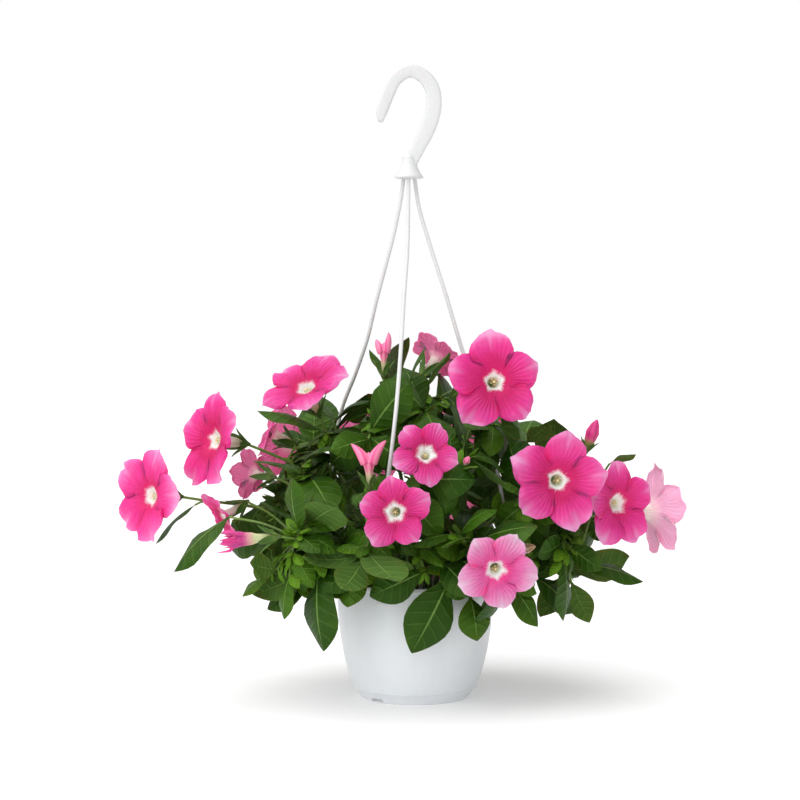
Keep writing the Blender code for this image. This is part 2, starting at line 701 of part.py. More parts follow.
def blade(form, stations, lift=0.0):
    """Points and triangles of a leaf of unit size, ridged along its midrib, lifted by a share."""
    vertices = [blade_point(0, 0, form, lift)]
    for t in stations:
        vertices += [blade_point(t, -1, form, lift), blade_point(t, 0, form, LEAF_THICKNESS + lift),
                     blade_point(t, 1, form, lift)]
    vertices.append(blade_point(1, 0, form, lift))
    last = len(vertices) - 1
    faces = []
    for k in range(3):
        near, far = 1 + k, 1 + (k + 1) % 3
        faces += [(0, far, near), (last, last - 3 + k, last - 3 + (k + 1) % 3)]
        for row in range(0, 3 * (len(stations) - 1), 3):
            a, b, c, d = near + row, far + row, far + row + 3, near + row + 3
            faces += [(a, b, d), (b, c, d)] if k == 1 else [(a, b, c), (a, c, d)]
    return vertices, faces


def leaf_placement(root, direction, up, length, width):
    """Matrix that takes the unit leaf to its size and place."""
    along = direction.normalized()
    across = along.cross(up).normalized()
    face = across.cross(along)
    return Matrix(((across.x * width, along.x * length, face.x * length, root.x),
                   (across.y * width, along.y * length, face.y * length, root.y),
                   (across.z * width, along.z * length, face.z * length, root.z), (0, 0, 0, 1)))


def calyx(place, direction, length, roll):
    """Points and triangles of a calyx: a five-sided cup, each side drawn out into a lobe."""
    back = place - direction * KNOB_LENGTH
    side = direction.orthogonal().normalized()
    corners, lobes = [], []
    for k in range(CALYX_LOBES):
        corners.append(Matrix.Rotation(roll + math.tau * k / CALYX_LOBES, 3, direction) @ side)
        lobes.append(Matrix.Rotation(roll + math.tau * (k + 0.5) / CALYX_LOBES, 3, direction) @ side)
    vertices = [back, place] + [back + out * STEM_RADII[1] for out in corners]
    vertices += [place + out * KNOB_FRONT for out in corners]
    vertices += [place + (direction * math.cos(LOBE_ANGLE) + out * math.sin(LOBE_ANGLE)) * length
                 for out in lobes]
    faces = []
    for k in range(CALYX_LOBES):
        near, far = 2 + k, 2 + (k + 1) % CALYX_LOBES
        near_front, far_front = near + CALYX_LOBES, far + CALYX_LOBES
        tip = 2 + 2 * CALYX_LOBES + k
        faces += [(0, far, near), (1, near_front, far_front), (near, far, tip), (far, far_front, tip),
                  (far_front, near_front, tip), (near_front, near, tip)]
    return vertices, faces


class Thicket:
    """What has grown so far, kept as search trees in millimetres so that nothing new crosses it."""

    def __init__(self):
        self.fixed = []
        self.grown = {}
        self.trees = {}

    @staticmethod
    def tree(vertices, faces):
        """Search tree of one mesh."""
        return BVHTree.FromPolygons([v / MM for v in vertices], faces)

    def add_fixed(self, thing):
        """Keep an object that every stem and leaf has to clear."""
        vertices = [thing.matrix_world @ v.co for v in thing.data.vertices]
        self.fixed.append(self.tree(vertices, [tuple(p.vertices) for p in thing.data.polygons]))

    def add(self, node, vertices, faces):
        """Keep geometry that belongs to one stem."""
        kept_vertices, kept_faces = self.grown.setdefault(node, ([], []))
        start = len(kept_vertices)
        kept_vertices.extend(vertices)
        kept_faces.extend(tuple(i + start for i in face) for face in faces)
        self.trees[node] = self.tree(kept_vertices, kept_faces)

    def others(self, node):
        """Trees of everything except one stem."""
        return self.fixed + [tree for name, tree in self.trees.items() if name != node]

    def own(self, node):
        """Tree of one stem, in a list that is empty before it has grown."""
        return [self.trees[node]] if node in self.trees else []

    def crosses(self, trees, vertices, faces):
        """Whether new geometry would touch any of some trees."""
        tested = self.tree(vertices, faces)
        return any(tested.overlap(tree) for tree in trees)

    def near(self, node, points, clearance):
        """Whether a path runs closer than a clearance to another node."""
        trees = self.others(node)
        for a, b in zip(points, points[1:]):
            probes = math.ceil((b - a).length / PROBE_STEP)
            for k in range(probes + 1):
                place = a.lerp(b, k / probes) / MM
                if any(tree.find_nearest(place, clearance / MM)[0] is not None for tree in trees):
                    return True
        return False


class Stem:
    """One leafy stem: its tubes, calyxes and leaves as loose solids, then fused into a node."""

    def __init__(self, name, parts, pieces, thicket):
        self.name = name
        self.parts = parts
        self.pieces = pieces
        self.thicket = thicket
        self.paths = []
        self.shoots = 0

    def grow_tube(self, points, radii, ring):
        """Add a stem or shoot along points."""
        made = tube(self.name, points, radii, ring, self.pieces)
        vertices = [v.co.copy() for v in made.data.vertices]
        self.thicket.add(self.name, vertices, [tuple(p.vertices) for p in made.data.polygons])
        self.paths.append(points)

    def try_path(self, make_points, radii, ring, draw, held=0.0):
        """Grow along the first of several jittered paths that clears every other node.

        The last stretch of the length held, where a flower sits, is left out of the test.
        """
        for attempt in range(TRIES):
            jitter = Vector((draw.gauss(0, 1), draw.gauss(0, 1), draw.gauss(0, 1)))
            points = make_points(jitter * (0.35 * MM * attempt))
            last = points[-1] + (points[-2] - points[-1]).normalized() * held
            if not self.thicket.near(self.name, [*points[:-1], last], radii[0] + STEM_CLEARANCE):
                self.grow_tube(points, radii, ring)
                return points
        return None

    def add_calyx(self, place, direction, length):
        """Cup behind a flower with five narrow lobes, rolled and shortened until it has room."""
        for attempt in range(TRIES):
            vertices, faces = calyx(place, direction, length * (1 - 0.01 * attempt), attempt)
            if not self.thicket.crosses(self.thicket.others(self.name), vertices, faces):
                break
        mesh_object("calyx", vertices, [], faces, self.pieces)
        self.thicket.add(self.name, vertices, faces)

    def leaf_has_room(self, placement, form, stations):
        """Whether a leaf clears every other node, and past its root its own node too.

        It is tested in its place and a little above and below it.
        """
        for lift in (0.0, LEAF_ROOM, -LEAF_ROOM):
            vertices, faces = blade(form, stations, lift)
            placed = [placement @ v for v in vertices]
            if self.thicket.crosses(self.thicket.others(self.name), placed, faces):
                return False
            placed[0] = placement @ blade_point(ROOT_SHARE, 0, form, lift)
            if self.thicket.crosses(self.thicket.own(self.name), placed, faces):
                return False
        return True

    def try_leaf(self, placement, form, stations):
        """Add a leaf where it has room."""
        if not self.leaf_has_room(placement, form, stations):
            return False
        vertices, faces = blade(form, stations)
        placed = [placement @ v for v in vertices]
        mesh_object("leaf", placed, [], faces, self.pieces)
        self.thicket.add(self.name, placed, faces)
        return True

    def fuse(self):
        """Join the loose solids into one object."""
        solids = list(self.pieces.objects)
        stem = move_to(solids[0], self.parts)
        stem.name = self.name
        boolean(stem, self.pieces, "UNION", "MANIFOLD")
        discard(self.pieces.objects)
        return stem


def stem_spots():
    """Places of the stems in the soil, spaced like the seeds of a sunflower."""
    spots = []
    for k in range(STEM_SPOTS):
        reach = STEM_SPREAD * math.sqrt((k + 0.5) / STEM_SPOTS)
        spots.append(Vector((reach * math.cos(k * GOLDEN_ANGLE), reach * math.sin(k * GOLDEN_ANGLE), 0)))
    return spots


def choose_spot(target, free):
    """Free place in the soil on the side of a stem's target: the lower it ends, the further out."""
    level = min(max((target.z - POT_HEIGHT) / 0.2, 0.0), 1.0)
    flat = Vector((target.x, target.y, 0)).normalized()
    wanted = flat * STEM_SPREAD * (1 - 0.75 * level)
    best = min(free, key=lambda spot: (spot - wanted).length)
    free.remove(best)
    return best


def main_path(spot, place, direction):
    """Function that gives a stem's points from the soil to its flower, bent by a jitter."""
    foot = Vector((spot.x, spot.y, SOIL_CROWN - STEM_HOLE_DEPTH + GAP + 0.2 * MM))
    collar = Vector((spot.x, spot.y, SOIL_CROWN + 2 * MM))
    end = place - direction * (KNOB_LENGTH * 0.6)
    reach = (end - collar).length

    def points(jitter):
        lean = UP * 0.42 + (end - collar).normalized() * 0.1
        first = collar + lean * reach + jitter * 2
        second = end - direction * reach * 0.22 + jitter - UP * reach * 0.05
        return [foot] + bezier(collar, first, second, end, STEM_STEPS)

    return points


def branch_path(start, heading, end, direction):
    """Function that gives a shoot's points from a stem to its end, bent by a jitter."""
    reach = (end - start).length

    def points(jitter):
        first = start + heading * reach * 0.3 + jitter * 2
        second = end - direction * reach * 0.3 + jitter
        return bezier(start, first, second, end, SHOOT_STEPS)

    return points


def branch_starts(stems, end, least, most):
    """Places on the stems that a shoot could leave from, the nearest first."""
    found = []
    for stem in stems:
        for path in stem.paths:
            for i in range(2, len(path) - 1):
                distance = (path[i] - end).length
                if least < distance < most:
                    heading = (path[i + 1] - path[i - 1]).normalized()
                    found.append((distance, stem.name, stem, path[i], heading))
    found.sort(key=lambda entry: entry[:2])
    return [entry[2:] for entry in found]


def dome_tips():
    """Ends of the shoots and the direction out of the dome at each."""
    tips = []
    for k in range(SHOOTS):
        height = 1 - (1 - DOME_LOW) * (k + 0.5) / SHOOTS
        flat = math.sqrt(1 - height * height)
        out = Vector((flat * math.cos(k * GOLDEN_ANGLE), flat * math.sin(k * GOLDEN_ANGLE), height))
        place = DOME_CENTRE + Vector(a * b for a, b in zip(out, DOME_RADII))
        tips.append((place, Vector(a / b for a, b in zip(out, DOME_RADII)).normalized()))
    return tips


def outer_leaf(stems, root, tip, width, draw):
    """One leaf of the outline on its own twig."""
    form = LEAF_FORMS[1]
    chord = tip - root
    up = (root - DOME_CENTRE).normalized() + UP * 0.25
    across = chord.cross(up).normalized()
    start = Matrix.Rotation(form.bend / 2, 3, across) @ chord.normalized()
    length = chord.length * form.bend / 2 / math.sin(form.bend / 2)
    for stem, place, heading in branch_starts(stems, root, *LEAF_BRANCH)[:12]:
        placement = leaf_placement(root - start * ROOT_SINK, start, up, length, width)
        if not stem.leaf_has_room(placement, form, OUTER_STATIONS):
            continue
        if stem.try_path(branch_path(place, heading, root, start), SHOOT_RADII, 0, draw):
            return stem.try_leaf(placement, form, OUTER_STATIONS)
    return False


def rosette(stem, points, draw):
    """Leaves around the upper part of a shoot, large at its foot and small at its tip."""
    tip, axis = points[-1], (points[-1] - points[-2]).normalized()
    side = axis.orthogonal().normalized()
    first_turn = draw.uniform(0, math.tau)
    depth = min(ROSETTE_DEPTH, 0.85 * (tip - points[-2]).length)
    for k in range(LEAVES_PER_SHOOT):
        share = k / (LEAVES_PER_SHOOT - 1)
        root = tip - axis * depth * (1 - share)
        for attempt in range(TRIES // 2):
            turn = first_turn + k * GOLDEN_ANGLE + draw.gauss(0, 0.15 + 0.03 * attempt)
            spread = math.radians(82 - 44 * share) + draw.gauss(0, 0.10 + 0.01 * attempt)
            out = Matrix.Rotation(turn, 3, axis) @ side
            direction = axis * math.cos(spread) + out * math.sin(spread) - UP * 0.10
            length = LEAF_LENGTHS[0] + (LEAF_LENGTHS[1] - LEAF_LENGTHS[0]) * share
            length *= draw.uniform(0.88, 1.12) * (1 - 0.012 * attempt)
            up = axis + UP * 0.5
            placement = leaf_placement(root - direction.normalized() * ROOT_SINK, direction, up, length,
                                       length * LEAF_ASPECT * draw.uniform(0.9, 1.12))
            form = LEAF_FORMS[draw.randrange(len(LEAF_FORMS))]
            if stem.try_leaf(placement, form, INNER_STATIONS):
                break


def grow_shoot(stems, tip, out, draw):
    """Leafy shoot to a place on the dome, from the nearest stem that has room for it."""
    for stem, start, heading in branch_starts(stems, tip, *SHOOT_BRANCH):
        if stem.shoots < SHOOTS_PER_STEM:
            points = stem.try_path(branch_path(start, heading, tip, out), SHOOT_RADII, 0, draw)
            if points:
                stem.shoots += 1
                rosette(stem, points, draw)
                return


def sight_line(path):
    """Thin sheet from a strand towards the front, so that foliage leaves the strand in view."""
    seen = [p for p in path if p.z > SIGHT_LOWEST]
    vertices, faces = [], []
    for offset in (-SIGHT_WIDTH, SIGHT_WIDTH):
        start = len(vertices)
        for p in seen:
            vertices += [p + Vector((offset, -0.004, 0)), p + Vector((offset, -0.2, 0))]
        faces += [(start + 2 * i, start + 2 * i + 1, start + 2 * i + 3, start + 2 * i + 2)
                  for i in range(len(seen) - 1)]
    return vertices, faces


def rim_view():
    """Level sheet in front of the rim, so that no more leaves hang over the pot's face."""
    (left, right), (front, back), height = RIM_VIEW
    corners = [Vector((x, y, height)) for x, y in ((left, front), (right, front), (right, back), (left, back))]
    return corners, [(0, 1, 2, 3)]


def grow_plant(parts, thicket, flowers):
    """All leafy stems, each a node of its own; returns their places in the soil."""
    draw = random.Random(SEED)
    free = stem_spots()
    stems, spots = [], []
    for number, names in enumerate(SPRAYS, 1):
        name = f"stem_{number:02d}"
        pieces = bpy.data.collections.new(name)
        bpy.context.scene.collection.children.link(pieces)
        stem = Stem(name, parts, pieces, thicket)
        place, direction = flower_end(flowers[names[0]])
        spot = choose_spot(place, free)
        stem.try_path(main_path(spot, place, direction), STEM_RADII, 0, draw, FLOWER_HOLD)
        stem.add_calyx(place, direction, lobe_length(flowers[names[0]]))
        spots.append((spot.x, spot.y))
        stems.append(stem)
        for name in names[1:]:
            place, direction = flower_end(flowers[name])
            end = place - direction * (KNOB_LENGTH * 0.6)
            for _, start, heading in branch_starts([stem], end, *FLOWER_BRANCH):
                path = branch_path(start, heading, end, direction)
                if stem.try_path(path, SHOOT_RADII, 0, draw, FLOWER_HOLD):
                    stem.add_calyx(place, direction, lobe_length(flowers[name]))
                    break
    for root, tip, width in OUTER_LEAVES:
        outer_leaf(stems, metres(root), metres(tip), width * MM, draw)
    thicket.fixed.append(thicket.tree(*rim_view()))
    for tip, out in dome_tips():
        grow_shoot(stems, tip, out, draw)
    for stem in stems:
        finish(stem.fuse(), LEAFY)
        bpy.data.collections.remove(stem.pieces)
    return spots


def main():
    """Build the whole part."""
    for thing in list(bpy.data.objects):
        bpy.data.objects.remove(thing)
    parts = bpy.data.collections.new(NAME)
    pieces = bpy.data.collections.new("pieces")
    cutters = bpy.data.collections.new("cutters")
    for collection in (parts, pieces, cutters):
        bpy.context.scene.collection.children.link(collection)

    thicket = Thicket()
    for thing in (make_pot(parts, cutters), make_hanger(parts, pieces)):
        finish(thing, PLASTIC)
        thicket.add_fixed(thing)
    path = strand_path(FRONT_STRAND, STRAND_ANGLES[0])
    thicket.fixed.append(thicket.tree(*sight_line(path)))

    flowers = {flower.name: flower for flower in (*BLOOMS, *BUDS)}
    made = [make_corolla(bloom, parts) for bloom in BLOOMS] + [make_bud(bud, parts) for bud in BUDS]
    for flower in made:
        finish(flower, PALE_PINK if flower.name in PALE_BLOOMS else PINK)
        thicket.add_fixed(flower)
    spots = grow_plant(parts, thicket, flowers)
    finish(make_soil(parts, cutters, spots), EARTH)

    plant = bpy.data.objects.new("plant", None)
    bpy.context.scene.collection.objects.link(plant)
    for thing in parts.objects:
        thing.parent = plant


main()
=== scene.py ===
"""Looks of a flowering plant in its hanging pot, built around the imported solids.

Metres, +Z up. The origin is the centre of the pot's foot and the front faces -Y.
"""

import json
import logging
import math
import random
from collections.abc import Iterable, Sequence
from dataclasses import dataclass, field
from enum import Enum
from typing import Any

import bpy
from mathutils import Euler, Matrix, Vector
from mathutils.bvhtree import BVHTree
from mathutils.kdtree import KDTree

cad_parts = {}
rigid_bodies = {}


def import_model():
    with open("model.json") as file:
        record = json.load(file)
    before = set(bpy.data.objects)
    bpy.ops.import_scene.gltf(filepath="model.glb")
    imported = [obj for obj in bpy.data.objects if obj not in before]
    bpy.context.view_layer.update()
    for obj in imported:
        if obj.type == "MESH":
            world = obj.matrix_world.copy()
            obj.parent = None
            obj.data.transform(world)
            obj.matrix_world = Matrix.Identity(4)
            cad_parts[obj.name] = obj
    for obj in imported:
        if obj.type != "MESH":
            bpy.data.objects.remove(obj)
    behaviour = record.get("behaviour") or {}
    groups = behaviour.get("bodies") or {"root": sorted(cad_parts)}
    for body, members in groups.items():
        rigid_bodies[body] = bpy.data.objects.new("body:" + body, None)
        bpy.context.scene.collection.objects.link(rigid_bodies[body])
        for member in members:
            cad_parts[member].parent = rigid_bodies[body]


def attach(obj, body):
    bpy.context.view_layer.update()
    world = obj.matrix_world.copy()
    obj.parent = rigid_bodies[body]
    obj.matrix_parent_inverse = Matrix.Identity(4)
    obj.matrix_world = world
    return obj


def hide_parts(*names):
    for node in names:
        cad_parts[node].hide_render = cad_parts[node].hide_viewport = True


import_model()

LOG = logging.getLogger("plant")
BODY = "root"
MM = 0.001
MERGE = 0.00001
SEED = 7
UP = Vector((0.0, 0.0, 1.0))
Colour = tuple[float, float, float]


# Small helpers


def facing(turn: float, lift: float) -> Vector:
    """Unit direction turned from the front towards +X and lifted above level, in degrees."""
    turn, lift = math.radians(turn), math.radians(lift)
    return Vector((math.sin(turn) * math.cos(lift), -math.cos(turn) * math.cos(lift), math.sin(lift)))


def polar(radius: float, angle: float, height: float = 0.0) -> Vector:
    """Point at a radius from the Z axis, at an angle about it in radians, at a height."""
    return Vector((radius * math.cos(angle), radius * math.sin(angle), height))


def squared(angle: float, power_x: float, power_y: float) -> tuple[float, float]:
    """Cosine and sine of an angle, raised to powers with their signs kept: a square with round corners."""
    c, s = math.cos(angle), math.sin(angle)
    return math.copysign(abs(c) ** power_x, c), math.copysign(abs(s) ** power_y, s)


def smooth(low: float, high: float, value: float) -> float:
    """Smooth step from 0 at low to 1 at high."""
    share = min(max((value - low) / (high - low), 0.0), 1.0)
    return share * share * (3 - 2 * share)


def axis_frame(place: Vector, direction: Vector, roll: float) -> Matrix:
    """Placement whose +Z points along a direction, rolled about it by degrees."""
    turn = direction.to_track_quat("Z", "Y").to_matrix().to_4x4()
    return Matrix.Translation(place) @ turn @ Matrix.Rotation(math.radians(roll), 4, "Z")


def column_frame(place: Vector, *columns: Vector) -> Matrix:
    """Placement whose X, Y and Z are these three vectors."""
    made = Matrix(columns).transposed().to_4x4()
    made.translation = place
    return made


def bezier(controls: Sequence[Vector], steps: int) -> list[Vector]:
    """Points of a cubic curve given by its four control points."""
    a, b, c, d = controls
    return [a * (1 - t) ** 3 + b * 3 * t * (1 - t) ** 2 + c * 3 * t * t * (1 - t) + d * t ** 3
            for t in (i / steps for i in range(steps + 1))]


def bow(start: Vector, bend: Vector, end: Vector, t: float) -> tuple[Vector, Vector]:
    """Point of a curve bent towards a third point in the XZ plane, and the direction across it there."""
    ahead = ((bend - start) * (1 - t) + (end - bend) * t).normalized()
    return start * (1 - t) ** 2 + bend * 2 * t * (1 - t) + end * t * t, Vector((ahead.z, 0, -ahead.x))


def smooth_path(points: Sequence[Vector], count: int) -> list[Vector]:
    """Evenly counted points of a Catmull-Rom curve through a route's own points."""
    route = [points[0] * 2 - points[1], *points, points[-1] * 2 - points[-2]]
    spans = len(points) - 1
    path = []
    for i in range(count):
        place = i / (count - 1) * spans
        k = min(int(place), spans - 1)
        t = place - k
        a, b, c, d = route[k:k + 4]
        path.append(0.5 * (2 * b + (c - a) * t + (2 * a - 5 * b + 4 * c - d) * t ** 2
                           + (3 * b - a - 3 * c + d) * t ** 3))
    return path


def point_tree(points: Sequence[Vector]) -> KDTree:
    """Search tree over points."""
    tree = KDTree(len(points))
    for n, point in enumerate(points):
        tree.insert(point, n)
    tree.balance()
    return tree


def add_object(name: str, mesh: bpy.types.Mesh) -> bpy.types.Object:
    """Object of a mesh, linked into the scene."""
    made = bpy.data.objects.new(name, mesh)
    bpy.context.scene.collection.objects.link(made)
    return made


def set_values(mesh: bpy.types.Mesh, name: str, values: Sequence[float], kind: str = "FLOAT",
               domain: str = "POINT") -> None:
    """Store named values on a mesh."""
    key = "vector" if kind == "FLOAT_VECTOR" else "value"
    mesh.attributes.new(name, kind, domain).data.foreach_set(key, values)


@dataclass
class Shape:
    """Points, faces and named values on the points of a mesh that is being made."""

    points: list[Vector] = field(default_factory=list)
    faces: list[tuple[int, ...]] = field(default_factory=list)
    values: dict[str, list[float]] = field(default_factory=dict)

    def add(self, point: Vector, **values: float) -> int:
        """Add a point.

        Args:
            point: Its place.
            **values: Its named values; a name that is left out counts as 0.

        Returns:
            The point's number.
        """
        self.points.append(Vector(point))
        for name, value in values.items():
            self.values.setdefault(name, [0.0] * (len(self.points) - 1)).append(value)
        for row in self.values.values():
            if len(row) < len(self.points):
                row.append(0.0)
        return len(self.points) - 1

    def ring(self, radius: float, height: float, sides: int) -> list[int]:
        """Add a ring about Z, or one point for all its places where the radius is 0."""
        if radius < MERGE:
            return [self.add(Vector((0, 0, height)))] * sides
        return [self.add(polar(radius, math.tau * k / sides, height)) for k in range(sides)]

    def grid(self, rows: Sequence[Sequence[int]], closed: bool = False) -> None:
        """Join rows of point numbers with four-sided faces, round to the first column if closed."""
        for low, high in zip(rows, rows[1:]):
            count = len(low) if closed else len(low) - 1
            for k in range(count):
                j = (k + 1) % len(low)
                face = [low[k], low[j], high[j], high[k]]
                face = [n for i, n in enumerate(face) if n not in face[:i]]
                if len(face) > 2:
                    self.faces.append(tuple(face))

    def place(self, matrix: Matrix) -> "Shape":
        """Move every point by a matrix."""
        self.points = [matrix @ point for point in self.points]
        return self

    def join(self, other: "Shape") -> "Shape":
        """Add another shape's points, faces and values."""
        start, count = len(self.points), len(other.points)
        self.points += other.points
        self.faces += [tuple(n + start for n in face) for face in other.faces]
        for name in {*self.values, *other.values}:
            mine = self.values.setdefault(name, [0.0] * start)
            mine += other.values.get(name, [0.0] * count)
        return self

    def thicken(self, thickness: float) -> "Shape":
        """Turn an open sheet into a closed one: a copy behind it, and a rim along its open edges.

        Args:
            thickness: Distance of the copy behind the sheet.

        Returns:
            The closed shape, with the value "back" at 1 on the copy.
        """
        normals = [Vector() for _ in self.points]
        sides = {}
        for face in self.faces:
            a, b, c = (self.points[n] for n in (face[0], face[1], face[-1]))
            normal = (b - a).cross(c - a)
            for i, n in enumerate(face):
                normals[n] += normal
                sides[(n, face[(i + 1) % len(face)])] = True
        start = len(self.points)
        self.values.setdefault("back", [0.0] * start)
        for n, point in enumerate(self.points[:start]):
            self.points.append(point - normals[n].normalized() * thickness)
            for name, row in self.values.items():
                row.append(1.0 if name == "back" else row[n])
        self.faces += [tuple(n + start for n in reversed(face)) for face in list(self.faces)]
        self.faces += [(b, a, a + start, b + start) for a, b in sides if (b, a) not in sides]
        return self

    def object(self, name: str, *finishes: "Finish") -> bpy.types.Object:
        """Make the mesh object, linked into the scene and shaded smooth.

        Args:
            name: The object's name.
            *finishes: Its surfaces.

        Returns:
            The object.
        """
        mesh = bpy.data.meshes.new(name)
        mesh.from_pydata([tuple(point) for point in self.points], [], self.faces)
        for key, row in self.values.items():
            set_values(mesh, key, row)
        for finish in finishes:
            mesh.materials.append(finish.make())
        mesh.shade_smooth()
        return add_object(name, mesh)


def lathe(profile: Sequence[tuple[float, float]], sides: int) -> Shape:
    """Closed shape turned about Z from radius and height, listed from the bottom middle round to the top."""
    shape = Shape()
    shape.grid([shape.ring(radius, height, sides) for radius, height in profile], closed=True)
    return shape


def rod(radius: float, low: float, high: float, sides: int) -> Shape:
    """Closed cylinder along Z."""
    return lathe([(0, low), (radius, low), (radius, high), (0, high)], sides)


def freeze(thing: bpy.types.Object) -> bpy.types.Object:
    """Replace an object's mesh by its evaluated one and drop its modifiers."""
    bpy.context.view_layer.update()
    graph = bpy.context.evaluated_depsgraph_get()
    mesh = bpy.data.meshes.new_from_object(thing.evaluated_get(graph))
    thing.modifiers.clear()
    thing.data = mesh
    return thing


def cut(target: bpy.types.Object, cutters: Sequence[bpy.types.Object]) -> None:
    """Cut holes and notches into an object, one after the other, and remove the cutters."""
    for cutter in cutters:
        step = target.modifiers.new("cut", "BOOLEAN")
        step.operation = "DIFFERENCE"
        step.solver = "EXACT"
        step.object = cutter
    freeze(target)
    for cutter in cutters:
        bpy.data.objects.remove(cutter)


def settle(thing: bpy.types.Object, nodes: Iterable[str] = ()) -> None:
    """Let a finished piece ride on the body and stand for CAD nodes."""
    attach(thing, BODY)
    nodes = list(nodes)
    if nodes:
        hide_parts(*nodes)
    faces = sum(len(polygon.vertices) - 2 for polygon in thing.data.polygons)
    LOG.info("%s: %d triangles, stands for %s", thing.name, faces, ", ".join(nodes) or "no node")


# Node trees as expressions


class Wire:
    """An output socket of a node tree; an expression on it adds the Math nodes that it needs."""

    def __init__(self, graph: "Graph", socket: bpy.types.NodeSocket) -> None:
        """Keep the socket and the graph that it belongs to."""
        self.graph = graph
        self.socket = socket

    def other(self, output: str) -> "Wire":
        """Another output of the same node."""
        return Wire(self.graph, self.socket.node.outputs[output])

    def _math(self, operation: str, *values: Any) -> "Wire":
        """Math node of an operation on values."""
        return self.graph.node("ShaderNodeMath", {"operation": operation}, dict(enumerate(values)))

    def __add__(self, other: Any) -> "Wire":
        """Sum."""
        return self._math("ADD", self, other)

    def __sub__(self, other: Any) -> "Wire":
        """Difference."""
        return self._math("SUBTRACT", self, other)

    def __rsub__(self, other: Any) -> "Wire":
        """Difference, reflected."""
        return self._math("SUBTRACT", other, self)

    def __mul__(self, other: Any) -> "Wire":
        """Product."""
        return self._math("MULTIPLY", self, other)

    def __truediv__(self, other: Any) -> "Wire":
        """Quotient."""
        return self._math("DIVIDE", self, other)

    def __abs__(self) -> "Wire":
        """Absolute value."""
        return self._math("ABSOLUTE", self)

    __radd__ = __add__
    __rmul__ = __mul__

    def fraction(self) -> "Wire":
        """Part after the decimal point."""
        return self._math("FRACT", self)

    def wave(self) -> "Wire":
        """Sine, brought to between 0 and 1."""
        return self._math("SINE", self) * 0.5 + 0.5

    def clamp(self) -> "Wire":
        """Value held between 0 and 1."""
        return self._math("MINIMUM", self._math("MAXIMUM", self, 0.0), 1.0)

    def step(self, low: float, high: float) -> "Wire":
        """Smooth step from 0 at low to 1 at high; high may be the smaller one."""
        made = self.graph.node("ShaderNodeMapRange", {"interpolation_type": "SMOOTHSTEP"},
                               {"Value": self, "From Min": min(low, high), "From Max": max(low, high)})
        return 1.0 - made if low > high else made


class Graph:
    """A node tree, of a material or of geometry, that is written as expressions."""

    def __init__(self, tree: bpy.types.NodeTree) -> None:
        """Keep the tree and the named values that are already read in it."""
        self.tree = tree
        self.known: dict[str, Wire] = {}

    def node(self, kind: str, settings: dict[str, Any] | None = None,
             inputs: dict[Any, Any] | None = None, output: Any = 0) -> Wire:
        """Add any node.

        Args:
            kind: The node's type.
            settings: Its own settings, set first.
            inputs: Values or wires by socket name or number; a list links several wires to one socket.
            output: Name or number of the output to return.

        Returns:
            The wire from that output.
        """
        made = self.tree.nodes.new(kind)
        for name, value in (settings or {}).items():
            setattr(made, name, value)
        for name, value in (inputs or {}).items():
            for single in value if isinstance(value, list) else [value]:
                self.feed(made.inputs[name], single)
        return Wire(self, made.outputs[output])

    def feed(self, socket: bpy.types.NodeSocket, value: Any) -> None:
        """Link a wire to a socket, or set the socket's value."""
        if isinstance(value, Wire):
            self.tree.links.new(value.socket, socket)
        elif socket.type == "RGBA" and len(value) == 3:
            socket.default_value = (*value, 1.0)
        else:
            socket.default_value = value

    def mix(self, factor: Any, low: Any, high: Any) -> Wire:
        """Colour between two colours."""
        return self.node("ShaderNodeMix", {"data_type": "RGBA"}, {0: factor, 6: low, 7: high}, 2)

    def value(self, name: str) -> Wire:
        """Named value on the points, read by one node however often it is used."""
        if name not in self.known:
            self.known[name] = self.node("ShaderNodeAttribute", {"attribute_name": name}, output="Fac")
        return self.known[name]

    def place(self, stretch: Sequence[float] = (1.0, 1.0, 1.0)) -> Wire:
        """Object coordinates, stretched along each axis."""
        inputs = {0: self.node("ShaderNodeTexCoord", output="Object"), 1: tuple(stretch)}
        return self.node("ShaderNodeVectorMath", {"operation": "MULTIPLY"}, inputs)

    def noise(self, scale: float, detail: float = 3.0, rough: float = 0.5,
              vector: Wire | None = None) -> Wire:
        """Noise from 0 to 1 at a scale, in cycles a metre on Object coordinates."""
        return self.node("ShaderNodeTexNoise", inputs={"Vector": vector or self.place(), "Scale": scale,
                                                       "Detail": detail, "Roughness": rough}, output="Fac")

    def bump(self, height: Wire, distance: float, strength: float = 1.0, normal: Wire | None = None) -> Wire:
        """Normal bumped by a height of 0 to 1 over a distance in metres."""
        inputs = {"Height": height, "Distance": distance, "Strength": strength}
        if normal:
            inputs["Normal"] = normal
        return self.node("ShaderNodeBump", inputs=inputs, output="Normal")


# Surfaces


@dataclass(frozen=True)
class Finish:
    """What every surface has; each kind of surface adds its own pattern."""

    name: str
    roughness: float = 0.5

    def make(self) -> bpy.types.Material:
        """Material of this finish, made once and then found by its name."""
        name = f"{self.name}_look"
        found = bpy.data.materials.get(name)
        if found:
            return found
        made = bpy.data.materials.new(name)
        made.use_nodes = True
        shader = made.node_tree.nodes["Principled BSDF"]
        graph = Graph(made.node_tree)
        for key, value in {"Roughness": self.roughness, **self.inputs(graph)}.items():
            graph.feed(shader.inputs[key], value)
        return made

    def inputs(self, graph: Graph) -> dict[str, Any]:
        """Wires and constants for the shader's inputs, by their names."""
        raise NotImplementedError


